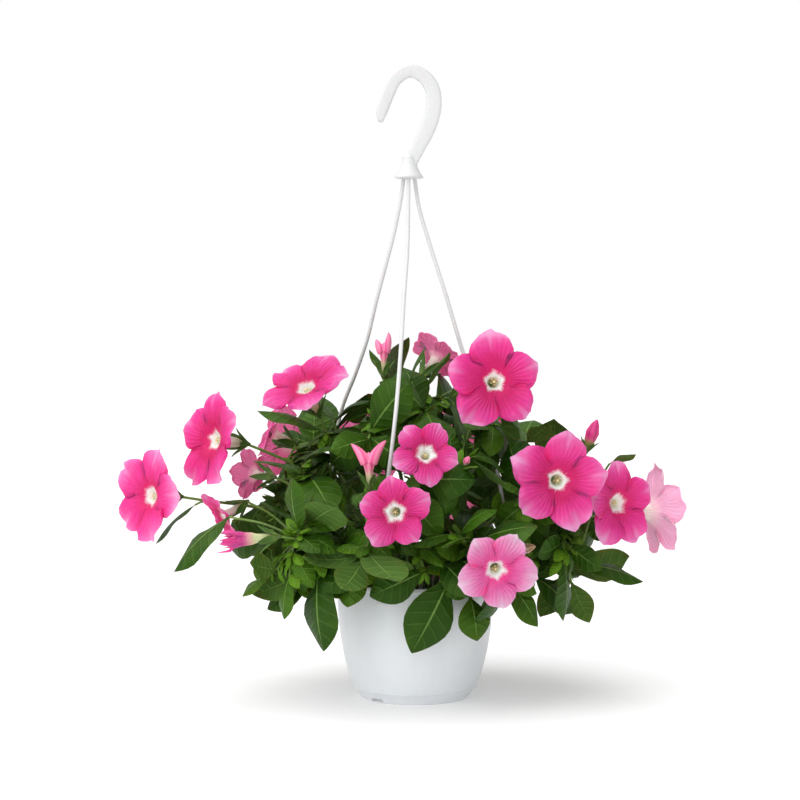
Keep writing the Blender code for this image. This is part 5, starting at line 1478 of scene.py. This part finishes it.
# Stalks of each stem: first the main one, then its shoots, each as four control points in millimetres
ROUTES = {
    1: (
        (-41, 2, 98, -59, 0, 194, -191, 18, 180, -223, -13, 193),
        (-200, -1, 188, -204, -2, 189, -208, 2, 186, -212, 2, 184),
        (-127, 6, 177, -134, 6, 179, -130, 16, 195, -137, 17, 198),
        (-127, 6, 177, -138, 6, 180, -129, -22, 156, -140, -26, 156),
        (-127, 6, 177, -145, 6, 182, -125, 38, 132, -142, 44, 130)),
    2: (
        (-20, -4, 98, -34, -6, 198, -124, 2, 228, -159, -26, 244),),
    3: (
        (-9, 8, 98, -17, 6, 196, -78, 11, 228, -92, -12, 270),
        (-81, -3, 250, -88, -7, 260, -78, -41, 251, -88, -44, 258),
        (-66, 3, 229, -73, 1, 238, -72, 1, 256, -78, 0, 266)),
    4: (
        (-30, -17, 98, -40, -19, 175, -105, -51, 203, -133, -32, 213),
        (-117, -38, 207, -148, -31, 217, -103, 28, 233, -116, 24, 242),
        (-96, -37, 196, -104, -38, 201, -100, -36, 220, -106, -40, 224)),
    5: (
        (-28, -34, 98, -38, -41, 161, -95, -98, 159, -125, -99, 164),
        (-108, -94, 162, -132, -105, 165, -138, -19, 203, -160, -28, 190),
        (-108, -94, 162, -127, -103, 164, -155, -75, 190, -172, -80, 180),
        (-108, -94, 162, -119, -99, 163, -118, -71, 129, -128, -78, 131),
        (-108, -94, 162, -123, -101, 164, -123, -58, 131, -136, -66, 126),
        (-108, -94, 162, -118, -99, 163, -112, -85, 135, -116, -90, 126),
        (-89, -83, 159, -95, -87, 160, -88, -84, 141, -89, -86, 134),
        (-108, -94, 162, -111, -96, 162, -105, -99, 167, -106, -100, 170),
        (-69, -69, 153, -76, -74, 156, -49, -77, 137, -52, -84, 132),
        (-69, -69, 153, -72, -71, 154, -68, -79, 149, -66, -82, 150),
        (-69, -69, 153, -80, -77, 157, -87, -56, 123, -100, -60, 118),
        (-108, -94, 162, -116, -98, 163, -85, -73, 180, -90, -81, 183),
        (-89, -83, 159, -102, -92, 162, -102, -52, 118, -114, -63, 115)),
    6: (
        (1, -15, 98, -2, -17, 208, -30, -26, 251, -30, -30, 308),
        (-28, -28, 280, -29, -28, 289, -7, -17, 289, -6, -18, 298),
        (-28, -28, 280, -29, -28, 287, -18, -13, 290, -20, -14, 296),
        (-23, -25, 253, -32, -6, 292, -44, -45, 254, -44, -64, 251)),
    7: (
        (11, 15, 98, 11, 16, 206, -22, 10, 265, 5, 31, 306),
        (-4, 22, 284, -2, 25, 292, 8, 1, 288, 10, 0, 296),
        (-4, 22, 284, -1, 26, 294, 31, 12, 276, 33, 12, 287),
        (-4, 22, 284, -2, 25, 293, -30, 37, 273, -32, 39, 282),
        (-5, 18, 258, -6, 20, 276, 9, -31, 260, 10, -40, 277)),
    8: (
        (19, -12, 98, 24, -15, 207, 66, 10, 286, 70, -36, 301),
        (56, -10, 266, 59, -12, 274, 76, -25, 254, 81, -28, 261)),
    9: (
        (14, -29, 98, 13, -35, 172, 2, -65, 205, 6, -93, 228),
        (5, -79, 215, 5, -88, 224, 37, -90, 216, 42, -96, 226),
        (5, -79, 215, 5, -90, 227, 50, -64, 226, 54, -77, 235),
        (5, -79, 215, 5, -85, 221, -13, -92, 206, -14, -99, 209)),
    10: (
        (-12, -24, 98, -15, -33, 170, -41, -114, 169, -42, -116, 208),
        (-28, -72, 166, -31, -81, 171, -34, -82, 141, -42, -88, 138),
        (-35, -93, 178, -45, -124, 173, -48, -104, 135, -47, -106, 141)),
    11: (
        (-5, -38, 98, -6, -46, 156, -13, -86, 182, -16, -112, 189),
        (-10, -68, 163, -11, -78, 173, 18, -88, 136, 8, -96, 132)),
    12: (
        (35, -8, 98, 44, -13, 175, 125, -25, 205, 127, -60, 214),
        (120, -44, 207, 129, -55, 214, 153, -55, 224, 158, -57, 237),
        (120, -44, 207, 128, -53, 213, 97, -28, 238, 105, -34, 246),
        (120, -44, 207, 127, -52, 212, 122, -9, 213, 132, -11, 219),
        (120, -44, 207, 126, -51, 212, 100, -64, 190, 106, -71, 193)),
    13: (
        (45, 6, 98, 66, -4, 180, 154, -7, 184, 170, -33, 190),
        (156, -22, 186, 169, -29, 190, 172, -27, 218, 184, -30, 226),
        (135, -14, 182, 148, -18, 185, 138, 26, 174, 151, 28, 177)),
    14: (
        (27, 10, 98, 43, 6, 184, 152, -44, 170, 190, -28, 179),
        (166, -31, 176, 180, -32, 177, 138, -38, 132, 152, -42, 132),
        (135, -26, 173, 149, -30, 175, 134, -53, 148, 138, -58, 134),
        (100, -16, 167, 115, -21, 171, 98, -40, 128, 112, -40, 120),
        (135, -26, 173, 142, -28, 174, 135, -36, 151, 142, -40, 151),
        (135, -26, 173, 155, -31, 176, 130, 4, 115, 151, 2, 109)),
    15: (
        (30, -30, 98, 34, -37, 140, 67, -78, 140, 69, -98, 142),
        (65, -87, 141, 68, -94, 141, 82, -92, 148, 89, -96, 150),
        (58, -73, 139, 64, -83, 141, 35, -89, 135, 31, -94, 126),
        (65, -87, 141, 69, -97, 142, 47, -87, 117, 50, -92, 108),
        (65, -87, 141, 68, -94, 141, 79, -81, 127, 84, -84, 122),
        (58, -73, 139, 64, -84, 141, 16, -80, 146, 22, -90, 142),
        (58, -73, 139, 61, -77, 140, 56, -78, 127, 54, -82, 126),
        (65, -87, 141, 70, -98, 142, 106, -60, 144, 104, -72, 140),
        (58, -73, 139, 63, -81, 140, 43, -79, 161, 40, -88, 160),
        (65, -87, 141, 70, -99, 142, 35, -96, 165, 37, -108, 167),
        (65, -87, 141, 68, -94, 141, 82, -85, 126, 85, -92, 125)),
    16: (
        (-28, 12, 98, -39, 27, 194, -82, 66, 218, -105, 88, 230),
        (-92, 76, 223, -99, 83, 227, -95, 44, 233, -102, 48, 240),
        (-92, 76, 223, -99, 82, 227, -68, 94, 210, -73, 102, 214),
        (-92, 76, 223, -104, 87, 230, -106, 71, 169, -119, 82, 172)),
    17: (
        (-6, 24, 98, -9, 33, 178, -28, 83, 208, -35, 116, 226),
        (-30, 98, 216, -33, 108, 222, -20, 81, 247, -21, 90, 256)),
    18: (
        (10, 32, 98, 14, 40, 185, 40, 77, 221, 52, 110, 245),
        (45, 93, 232, 52, 109, 246, -17, 97, 251, -16, 105, 272),
        (45, 93, 232, 50, 104, 241, 45, 53, 258, 49, 60, 272),
        (37, 77, 215, 40, 83, 223, 39, 100, 224, 41, 109, 230)),
    19: (
        (30, 26, 98, 39, 31, 170, 95, 62, 187, 120, 82, 200),
        (105, 71, 193, 119, 81, 200, 95, 38, 233, 107, 43, 246),
        (87, 60, 184, 96, 66, 189, 103, 78, 199, 110, 86, 204),
        (105, 71, 193, 120, 82, 200, 122, 59, 137, 138, 70, 136)),
    20: (
        (-22, 30, 98, -27, 42, 163, -63, 115, 157, -74, 144, 161),
        (-57, 104, 158, -60, 111, 159, -52, 120, 146, -55, 127, 146),
        (-57, 104, 158, -65, 122, 160, -84, 85, 109, -95, 100, 104)),
    21: (
        (-2, 43, 98, 2, 54, 161, 35, 118, 166, 39, 147, 170),
        (35, 130, 168, 39, 142, 170, -2, 119, 185, -3, 131, 188),
        (35, 130, 168, 39, 143, 170, 73, 107, 160, 79, 120, 162),
        (35, 130, 168, 39, 144, 170, 27, 119, 122, 29, 133, 120)),
}


@dataclass(frozen=True)
class LeafForm:
    """How a leaf bends along its length, folds at its midrib and waves along its edges."""

    bend: float
    fold: float
    wave: float
    phase: float

    @staticmethod
    def packed_half_width(t: float) -> float:
        """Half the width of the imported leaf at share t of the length, as a share of the full width."""
        return 0.05 * (1 - t) + 0.5 * math.sin(math.pi * min(max(t, 0.0), 1.0) ** 1.15) ** 1.15

    @staticmethod
    def fine_half_width(t: float) -> float:
        """Half the width of the finished blade: a short stalk, widest past the middle, a blunt tip."""
        share = min(max((t - 0.05) / 0.95, 0.0), 1.0)
        return 0.035 * (1 - t) + 0.5 * math.sin(math.pi * share ** 1.16) ** 0.78

    def point(self, t: float, u: float, lift: float = 0.0, fine: bool = False) -> Vector:
        """Point at t along the length and u across from -1 to 1, lifted off the middle surface."""
        angle, reach = self.bend * t, self.fine_half_width(t) if fine else self.packed_half_width(t)
        edge = self.wave * u * u * math.sin(math.tau * (1.6 * t + self.phase)) - self.fold * abs(u) * reach
        rise = edge + lift
        return Vector((u * reach, math.sin(angle) / self.bend + math.sin(angle) * rise,
                       (math.cos(angle) - 1) / self.bend + math.cos(angle) * rise))

    def blade(self, name: str, levels: Sequence[float]) -> bpy.types.Object:
        """Unit leaf: a closed blade with a row of faces between levels, grooved above and keeled below.

        Args:
            name: The object's name.
            levels: Shares of the length, from the stalk to the tip.

        Returns:
            The object, one unit long and wide.
        """
        shape = Shape()
        over, below = [], []
        for t in levels:
            thick = 0.35 + 0.65 * smooth(0, 0.2, t) if t < 0.5 else smooth(1.0, 0.75, t) * 0.8 + 0.2
            upper, lower = (
                [shape.add(self.point(t, u, (lift - drop) * thick, True), along=max(t, 0.0), across=u)
                 for u, lift in stations]
                for stations, drop in ((BLADE_TOP, 0.0), (BLADE_TOP[1:-1], BLADE_THICKNESS)))
            over.append(upper)
            below.append([upper[0], *lower, upper[-1]])
        shape.grid([row[::-1] for row in over])
        count = len(shape.faces)
        shape.grid(below)
        # The lower faces start one corner on, so that both sides are split along the same diagonals
        shape.faces[count:] = [face[1:] + face[:1] for face in shape.faces[count:]]
        made = shape.object(name)
        set_values(made.data, "under", [0.0] * count + [1.0] * (len(shape.faces) - count), domain="FACE")
        made.data.set_sharp_from_angle(angle=math.radians(75))
        return made


# Places across a blade and how high its upper side stands there, and its thickness, in shares of the length
BLADE_TOP = ((-1, 0.0), (-0.52, 0.012), (0, 0.006), (0.52, 0.012), (1, 0.0))
BLADE_THICKNESS = 0.010
LEAF_FORMS = (LeafForm(0.25, 0.10, 0.020, 0.10), LeafForm(0.60, 0.14, 0.025, 0.45),
              LeafForm(0.95, 0.08, 0.030, 0.75), LeafForm(1.30, 0.12, 0.020, 0.25))
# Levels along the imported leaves, small and large ones, and how high their midrib stands
PACKED_STATIONS = ((0.33, 0.72), (0.10, 0.45, 0.78))
PACKED_RIDGE = 0.024
# Levels along a leaf's length: for the few hundred large leaves, and for the many small ones
FINE_LEVELS = (-0.03, 0.07, 0.12, 0.20, 0.31, 0.43, 0.55, 0.66, 0.76, 0.85, 0.92, 0.97, 0.993, 1.0)
SMALL_LEVELS = (-0.03, 0.09, 0.22, 0.40, 0.58, 0.76, 0.91, 0.98, 1.0)


@dataclass
class Leaf:
    """One leaf: its placement, its form, and how young it looks from 0 to 1."""

    matrix: Matrix
    form: int
    tint: float

    def outline(self, lift: float = 0.0) -> tuple[list[Vector], BVHTree]:
        """Points in millimetres and search tree of a coarse shape that stands for the leaf.

        Args:
            lift: How far the shape is moved off the leaf's surface, as a share of its length.

        Returns:
            The points and the tree.
        """
        form = LEAF_FORMS[self.form]
        points = [form.point(0.10, 0, lift)]
        for t in PACKED_STATIONS[0]:
            points += [form.point(t, -1, lift), form.point(t, 0, 0.012 + lift), form.point(t, 1, lift)]
        points.append(form.point(1, 0, lift))
        faces = [(0, 2, 1), (0, 3, 2), (0, 1, 3), (7, 4, 5), (7, 5, 6), (7, 6, 4),
                 (1, 2, 5, 4), (2, 3, 6, 5), (3, 1, 4, 6)]
        points = [self.matrix @ point / MM for point in points]
        return points, BVHTree.FromPolygons(points, faces)


class SolidLeaves:
    """Finds the leaves of a packed stem: each tip has three neighbours that give its placement."""

    # Largest misfit of a leaf's own points, of its proportions and of its right angles
    misfit = 0.0003
    slack = 0.04
    sizes = (0.01, 0.12)

    def __init__(self) -> None:
        """Prepare the solutions for every form and every order of the neighbours."""
        self.cases = []
        for number, form in enumerate(LEAF_FORMS):
            for stations in PACKED_STATIONS:
                t = stations[-1]
                known = (form.point(1, 0), form.point(t, -1), form.point(t, 0, PACKED_RIDGE),
                         form.point(t, 1))
                inverse = Matrix([(*point, 1.0) for point in known]).inverted()
                for order in ((0, 1, 2), (0, 2, 1), (1, 0, 2), (1, 2, 0), (2, 0, 1), (2, 1, 0)):
                    self.cases.append((number, stations, inverse, order))

    @staticmethod
    def corners(node: bpy.types.Object) -> tuple[list[Vector], list[set[int]]]:
        """Points of a node's mesh, each once, and the neighbours of each."""
        places, numbers, points = {}, [], []
        for vertex in node.data.vertices:
            point = node.matrix_world @ vertex.co
            key = tuple(round(n / MERGE) for n in point)
            if key not in places:
                places[key] = len(points)
                points.append(point)
            numbers.append(places[key])
        near = [set() for _ in points]
        for edge in node.data.edges:
            a, b = (numbers[n] for n in edge.vertices)
            if a != b:
                near[a].add(b)
                near[b].add(a)
        return points, near

    def solve(self, tip: Vector, around: Sequence[Vector], tree: KDTree) -> tuple[Matrix, int] | None:
        """Placement and form of the leaf that ends in a tip, if one fits."""
        best = None
        for number, stations, inverse, order in self.cases:
            rows = Matrix([(*point, 1.0) for point in (tip, *(around[n] for n in order))])
            matrix = (inverse @ rows).transposed()
            across, along, face = (matrix.col[n].to_3d() for n in range(3))
            size, width = along.length, across.length
            if not self.sizes[0] < size < self.sizes[1] or matrix.determinant() <= 0:
                continue
            skew = max(abs(across.dot(along)) / width, abs(along.dot(face)) / size,
                       abs(across.dot(face)) / width)
            if abs(face.length / size - 1) > self.slack or skew > self.slack * size:
                continue
            form = LEAF_FORMS[number]
            wrong = max(tree.find(matrix @ form.point(stations[-2], u, PACKED_RIDGE * (u == 0)))[2]
                        for u in (-1, 0, 1))
            if wrong < self.misfit and (best is None or wrong < best[0]):
                best = (wrong, matrix, number)
        return best[1:] if best else None

    def find(self, node: bpy.types.Object) -> list[tuple[Matrix, int]]:
        """Placements and forms of all the leaves of a node."""
        points, near = self.corners(node)
        tree = point_tree(points)
        found = [self.solve(points[n], [points[k] for k in around], tree)
                 for n, around in enumerate(near) if len(around) == 3]
        return [leaf for leaf in found if leaf]


@dataclass
class Stem:
    """One leafy stem: its stalks, and the calyx under each of its flowers."""

    number: int
    tubes: GeometryTree
    girths: tuple[float, float] = (0.0023, 0.0013)
    shoot_girths: tuple[float, float] = (0.0013, 0.0010)
    steps: int = 6
    shoot_steps: int = 2
    sides: int = 10
    hairs: float = 90000.0
    hair_length: float = 0.0009
    cup_sides: int = 15
    # Radius and height of the cup, from the middle of its end round to the middle of its mouth
    cup: tuple[tuple[float, float], ...] = (
        (0, -0.0060), (0.0013, -0.0060), (0.0018, -0.0048), (0.0026, -0.0030), (0.0031, -0.0012), (0.0030, 0),
        (0.0021, 0.0001), (0, -0.0002))
    lobes: int = 5
    lobe_angle: float = 44.0
    lobe_thickness: float = 0.00045
    lobe_steps: int = 8
    # How many turns and lengths of a calyx are tried, and how much shorter each one is
    calyx_tries: int = 60
    calyx_step: float = 0.01

    @property
    def node(self) -> str:
        """Name of the node that this stem stands for."""
        return f"stem_{self.number:02d}"

    def paths(self) -> list[list[Vector]]:
        """Path of the main stalk and of each shoot."""
        return [self.rounded(bezier([Vector(row[n:n + 3]) * MM for n in (0, 3, 6, 9)],
                                    self.shoot_steps if k else self.steps))
                for k, row in enumerate(ROUTES[self.number])]

    @staticmethod
    def rounded(points: Sequence[Vector]) -> list[Vector]:
        """Path through points with only its corners rounded, so that it stays on the straight parts."""
        path = [points[0]]
        for a, b, c in zip(points, points[1:], points[2:]):
            before, after = b.lerp(a, 0.3), b.lerp(c, 0.3)
            path += [a.lerp(b, 0.4), before]
            path += [before.lerp(b, t).lerp(b.lerp(after, t), t) for t in (0.33, 0.67)]
            path.append(after)
        return [*path, points[-1]]

    def stalks(self) -> bpy.types.Object:
        """Tubes of the main stem and its shoots, with fine hairs."""
        paths = [(path, *(self.shoot_girths if k else self.girths)) for k, path in enumerate(self.paths())]
        made = path_object(f"{self.node}_stalks", paths)
        return self.tubes.apply(made, Sides=self.sides, Hairs=self.hairs, Hair_Length=self.hair_length,
                                Seed=self.number, Skin=STALK.make(), Down=DOWN.make())

    def calyx_turn(self, place: Vector, direction: Vector, length: float,
                   tree: KDTree) -> tuple[float, float]:
        """Roll and lobe length of a calyx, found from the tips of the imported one."""
        side = direction.orthogonal().normalized()
        lift = math.radians(self.lobe_angle)
        best = (1.0, 0.0, length)
        for attempt in range(self.calyx_tries):
            size = length * (1 - self.calyx_step * attempt)
            wrong = 0.0
            for k in range(self.lobes):
                turn = Matrix.Rotation(attempt + math.tau * (k + 0.5) / self.lobes, 3, direction)
                tip = place + (direction * math.cos(lift) + turn @ side * math.sin(lift)) * size
                wrong = max(wrong, tree.find(tip)[2])
            best = min(best, (wrong, attempt, size))
        return best[1], best[2]

    def calyx(self, flower: Bloom | Bud, tree: KDTree) -> Shape:
        """Cup behind a flower and its five narrow leafy lobes."""
        place, direction = flower.calyx_place, facing(flower.turn, flower.lift)
        roll, length = self.calyx_turn(place, direction, flower.calyx_length, tree)
        shape = lathe(self.cup, self.cup_sides)
        for k in range(self.lobes):
            turn = Matrix.Rotation(roll + math.tau * (k + 0.5) / self.lobes, 4, "Z")
            shape.join(self.lobe(length, 0.15 * math.sin(5.0 * k + roll)).place(turn))
        side = direction.orthogonal().normalized()
        return shape.place(column_frame(place, side, direction.cross(side), direction))

    def lobe(self, length: float, twist: float) -> Shape:
        """One calyx lobe that leaves the cup along +X and ends at the lobe angle, curled back a little."""
        shape = Shape()
        rows = []
        lift = math.radians(self.lobe_angle)
        tip = Vector((math.sin(lift), 0, math.cos(lift))) * length
        start = Vector((0.0022, 0, -0.0022))
        mid = start.lerp(tip, 0.5) + Vector((-0.11, 0, 0.10)) * length
        for i in range(self.lobe_steps + 1):
            t = i / self.lobe_steps
            centre, out = bow(start, mid, tip, t)
            wide = length * (0.055 + 0.085 * math.sin(math.pi * t ** 0.85)) * (1 - t ** 5) + 0.2 * MM
            rows.append([])
            for u in (-1, -0.5, 0, 0.5, 1):
                rise = wide * (0.35 * u * u + twist * u - 0.15 * (1 - abs(u)))
                sway = Vector((0, u * wide, 0)) + out * rise
                rows[-1].append(shape.add(centre + sway, leafy=smooth(0.0, 0.35, t), along=1.0))
        shape.grid(rows)
        return shape.thicken(self.lobe_thickness)

    def dress(self) -> None:
        """Build the stalks and calyxes and let the stalks stand for the stem's node."""
        tree = point_tree(SolidLeaves.corners(bpy.data.objects[self.node])[0])
        settle(self.stalks(), [self.node])
        shape = Shape()
        for flower in FLOWERS:
            if flower.stem == self.number:
                shape.join(self.calyx(flower, tree))
        settle(shape.object(f"{self.node}_calyx", STALK))


@dataclass(frozen=True)
class Growth:
    """A kind of leaf that fills the bush: how many are tried, where, how long, wide, young and upright."""

    count: int
    start: float
    lengths: tuple[float, float]
    aspect: float
    tint: float
    ahead: float


@dataclass
class Foliage:
    """All the leaves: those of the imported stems, and smaller ones that fill the bush between them."""

    tree: GeometryTree
    growths: tuple[Growth, ...] = (Growth(480, 0.15, (0.024, 0.046), 0.54, 0.22, 0.5),
                                   Growth(900, 0.40, (0.011, 0.027), 0.42, 0.80, 1.0))
    room: float = 0.03
    # Spaces before the pot and before the front strand that stay in sight: left, right, back, low and high
    sights: tuple[tuple[float, float, float, float, float], ...] = (
        (-0.068, 0.070, -0.050, 0.0, 0.117), (-0.040, -0.004, -0.070, 0.190, 0.5))
    centre: Vector = field(default_factory=lambda: Vector((0.004, 0.012, 0.145)))
    radii: Vector = field(default_factory=lambda: Vector((0.166, 0.178, 0.150)))
    lowest: float = 0.06
    tries: int = 14

    def __post_init__(self) -> None:
        """Prepare the solids that leaves keep clear of."""
        self.fixed = []
        for node in ["pot", "hanger", *(flower.name for flower in FLOWERS)]:
            thing = bpy.data.objects[node]
            points = [thing.matrix_world @ vertex.co / MM for vertex in thing.data.vertices]
            self.fixed.append(BVHTree.FromPolygons(points, [tuple(p.vertices) for p in thing.data.polygons]))
        self.grown: list[tuple[Vector, float, BVHTree]] = []

    @staticmethod
    def bubble(leaf: Leaf) -> tuple[Vector, float, BVHTree]:
        """Middle, radius and search tree of a leaf, in millimetres."""
        points, tree = leaf.outline()
        middle = sum(points, Vector()) / len(points)
        return middle, max((point - middle).length for point in points), tree

    def has_room(self, leaf: Leaf) -> bool:
        """Whether a leaf clears the flowers, the hanger, the pot and the other leaves."""
        for lift in (0.0, self.room, -self.room):
            _, tested = leaf.outline(lift)
            if any(tested.overlap(tree) for tree in self.fixed):
                return False
        middle, radius, tested = self.bubble(leaf)
        return not any((middle - place).length < radius + size and tested.overlap(tree)
                       for place, size, tree in self.grown)

    def inside(self, point: Vector) -> bool:
        """Whether a point lies within the dome and above the table."""
        away = point - self.centre
        return sum((away[n] / self.radii[n]) ** 2 for n in range(3)) < 1 and point.z > self.lowest

    def placement(self, root: Vector, direction: Vector, length: float, width: float) -> Matrix:
        """Matrix of a leaf that leaves its root in a direction, its face turned up and out."""
        along = direction.normalized()
        up = (UP * 1.4 + (root - self.centre).normalized()).normalized()
        across = along.cross(up).normalized()
        return column_frame(root, across * width, along * length, across.cross(along) * length)

    def hides(self, leaf: Leaf) -> bool:
        """Whether a leaf reaches into a space that stays in sight, or before a bloom at the front."""
        places = [leaf.matrix @ Vector((x, y, 0)) for x, y in ((0, 0), (-0.4, 0.6), (0.4, 0.6), (0, 1))]
        if any(left < place.x < right and place.y < back and low < place.z < high
               for left, right, back, low, high in self.sights for place in places):
            return True
        eyes = [(Vector(bloom.eye) * MM, bloom.radius) for bloom in BLOOMS if bloom.eye[1] < 0]
        return any(place.y < eye.y and math.hypot(place.x - eye.x, place.z - eye.z) < radius
                   for eye, radius in eyes for place in places)

    def filler(self, path: Sequence[Vector], growth: Growth, draw: random.Random) -> Leaf | None:
        """Small leaf at a chance place of a stalk, if one of a few tries has room."""
        for _ in range(self.tries):
            share = draw.uniform(growth.start, 1.0) * (len(path) - 1)
            k = min(int(share), len(path) - 2)
            root = path[k].lerp(path[k + 1], share - k)
            ahead = (path[k + 1] - path[k]).normalized()
            round_turn = Matrix.Rotation(draw.uniform(0, math.tau), 3, ahead)
            out = round_turn @ ahead.orthogonal().normalized()
            direction = ahead * draw.uniform(0.4, 1.6) * growth.ahead + out + UP * draw.uniform(-0.1, 0.5)
            length = draw.uniform(*growth.lengths)
            width = length * growth.aspect * draw.uniform(0.85, 1.15)
            tint = min(max(growth.tint + draw.uniform(-0.18, 0.22), 0.0), 1.0)
            leaf = Leaf(self.placement(root, direction, length, width), draw.randrange(len(LEAF_FORMS)), tint)
            tip = leaf.matrix @ Vector((0, 0.95, 0))
            if self.inside(tip) and self.inside(root) and not self.hides(leaf) and self.has_room(leaf):
                return leaf
        return None

    @staticmethod
    def points_object(name: str, leaves: Sequence[Leaf]) -> bpy.types.Object:
        """Object with a point for each leaf that carries its form, turn, size and tint."""
        mesh = bpy.data.meshes.new(name)
        mesh.from_pydata([tuple(leaf.matrix.translation) for leaf in leaves], [], [])
        turns, sizes = [], []
        for leaf in leaves:
            columns = [leaf.matrix.col[n].to_3d() for n in range(3)]
            turned = Matrix([column.normalized() for column in columns]).transposed()
            turns += turned.to_euler("XYZ")[:]
            sizes += [column.length for column in columns]
        set_values(mesh, "form", [leaf.form for leaf in leaves], "INT")
        set_values(mesh, "turn", turns, "FLOAT_VECTOR")
        set_values(mesh, "size", sizes, "FLOAT_VECTOR")
        set_values(mesh, "tint", [leaf.tint for leaf in leaves])
        return add_object(name, mesh)

    def grow(self, name: str, leaves: Sequence[Leaf], levels: Sequence[float]) -> None:
        """Build one object of leaves from unit leaves with these levels along their length."""
        held = bpy.data.collections.new("leaf_forms")
        for number, form in enumerate(LEAF_FORMS):
            made = form.blade(f"leaf_form_{number}", levels)
            bpy.context.scene.collection.objects.unlink(made)
            held.objects.link(made)
        settle(self.tree.apply(self.points_object(name, leaves), Forms=held, Surface=LEAF.make()))
        for thing in list(held.objects):
            bpy.data.objects.remove(thing)
        bpy.data.collections.remove(held)

    def packed_leaves(self, found: Iterable[tuple[Matrix, int]], draw: random.Random) -> list[Leaf]:
        """Leaves at the places found in a packed stem, the larger ones darker."""
        leaves = []
        for matrix, form in found:
            size = matrix.col[1].to_3d().length
            tint = 0.50 - 0.45 * smooth(0.028, 0.052, size) + draw.uniform(-0.12, 0.15)
            leaves.append(Leaf(matrix, form, min(max(tint, 0.0), 1.0)))
            self.grown.append(self.bubble(leaves[-1]))
        return leaves

    def dress(self, stems: Sequence[Stem]) -> None:
        """Build every leaf: those of the nodes one object a stem, the fillers in one object."""
        draw = random.Random(SEED)
        solver = SolidLeaves()
        total = 0
        for stem in stems:
            leaves = self.packed_leaves(solver.find(bpy.data.objects[stem.node]), draw)
            total += len(leaves)
            if leaves:
                self.grow(f"{stem.node}_leaves", leaves, FINE_LEVELS)
        LOG.info("%d leaves found in the packed stems", total)
        paths = [path for stem in stems for path in stem.paths()]
        extra = []
        for growth in self.growths:
            for k in range(growth.count):
                leaf = self.filler(paths[k % len(paths)], growth, draw)
                if leaf:
                    self.grown.append(self.bubble(leaf))
                    extra.append(leaf)
        LOG.info("%d small leaves found room", len(extra))
        self.grow("filler_leaves", extra, SMALL_LEVELS)


# Studio


@dataclass(frozen=True)
class FloorFinish(Finish):
    """White studio surface, nearly even."""

    colour: Colour = (0.80, 0.80, 0.80)
    shade: Colour = (0.74, 0.74, 0.75)
    glow: float = 0.205

    def inputs(self, graph: Graph) -> dict[str, Any]:
        """A barely visible unevenness."""
        cloud = graph.noise(1.5, 2.0, 0.5)
        return {"Base Color": graph.mix(cloud * 0.2, self.colour, self.shade),
                "Emission Color": (1.0, 1.0, 1.0), "Emission Strength": self.glow}


@dataclass(frozen=True)
class Lamp:
    """A soft sun: its strength, and how it turns from the front and lifts in degrees."""

    name: str
    strength: float
    turn: float
    lift: float
    size: float = 70.0

    def light(self) -> None:
        """Add the lamp to the scene."""
        sun = bpy.data.lights.new(self.name, "SUN")
        sun.energy = self.strength
        sun.angle = math.radians(self.size)
        lamp = bpy.data.objects.new(self.name, sun)
        lamp.rotation_euler = facing(self.turn, self.lift).to_track_quat("Z", "Y").to_euler()
        bpy.context.scene.collection.objects.link(lamp)


@dataclass
class Studio:
    """White floor and surroundings, one soft lamp high on the left and the camera at the photo's angle."""

    lamps: tuple[Lamp, ...] = (Lamp("studio_sun", 2.1, -66.0, 69.0), Lamp("studio_fill", 1.2, -28.0, 22.0))
    floor_corners: tuple[tuple[float, float], ...] = ((-6, -4), (6, -4), (6, 8), (-6, 8))
    sky: float = 0.58
    camera_place: tuple[float, float, float] = (-0.0144, -1.900, 0.350)
    camera_tilt: float = 88.05
    lens: float = 89.0
    sensor: float = 36.0

    def floor(self) -> None:
        """Large white floor."""
        shape = Shape([Vector((x, y, 0)) for x, y in self.floor_corners], [(0, 1, 2, 3)])
        shape.object("studio_floor", FloorFinish("studio_floor", 0.9))

    def light(self) -> None:
        """Soft sun, weak light from the front, and a white world that lights the plant less than it shows."""
        for lamp in self.lamps:
            lamp.light()
        world = bpy.data.worlds.new("studio_world")
        world.use_nodes = True
        graph = Graph(world.node_tree)
        back = world.node_tree.nodes["Background"]
        seen = graph.node("ShaderNodeLightPath", output="Is Camera Ray")
        graph.feed(back.inputs["Color"], (1.0, 1.0, 1.0))
        graph.feed(back.inputs["Strength"], seen * (1.0 - self.sky) + self.sky)
        bpy.context.scene.world = world

    def camera(self) -> None:
        """Camera at the photo's angle."""
        lens = bpy.data.cameras.new("studio_camera")
        lens.lens = self.lens
        lens.sensor_width = self.sensor
        made = bpy.data.objects.new("studio_camera", lens)
        made.location = self.camera_place
        made.rotation_euler = Euler((math.radians(self.camera_tilt), 0, 0))
        bpy.context.scene.collection.objects.link(made)
        bpy.context.scene.camera = made
        bpy.context.scene.view_settings.view_transform = "Standard"

    def dress(self) -> None:
        """Set up floor, light and camera."""
        self.floor()
        self.light()
        self.camera()


def main() -> None:
    """Build every piece in order."""
    logging.basicConfig(level=logging.INFO, format="%(message)s")
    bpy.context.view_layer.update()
    tubes = tube_tree()
    pot = Pot()
    stems = [Stem(number, tubes) for number in sorted(ROUTES)]
    foliage = Foliage(foliage_tree())
    pot.dress()
    Soil(pot).dress()
    Hanger(pot, tubes).dress()
    foliage.dress(stems)
    for stem in stems:
        stem.dress()
    for bloom in BLOOMS:
        Corolla(bloom).dress()
    for bud in BUDS:
        bud.dress()
    Studio().dress()


if __name__ == "__main__":
    main()
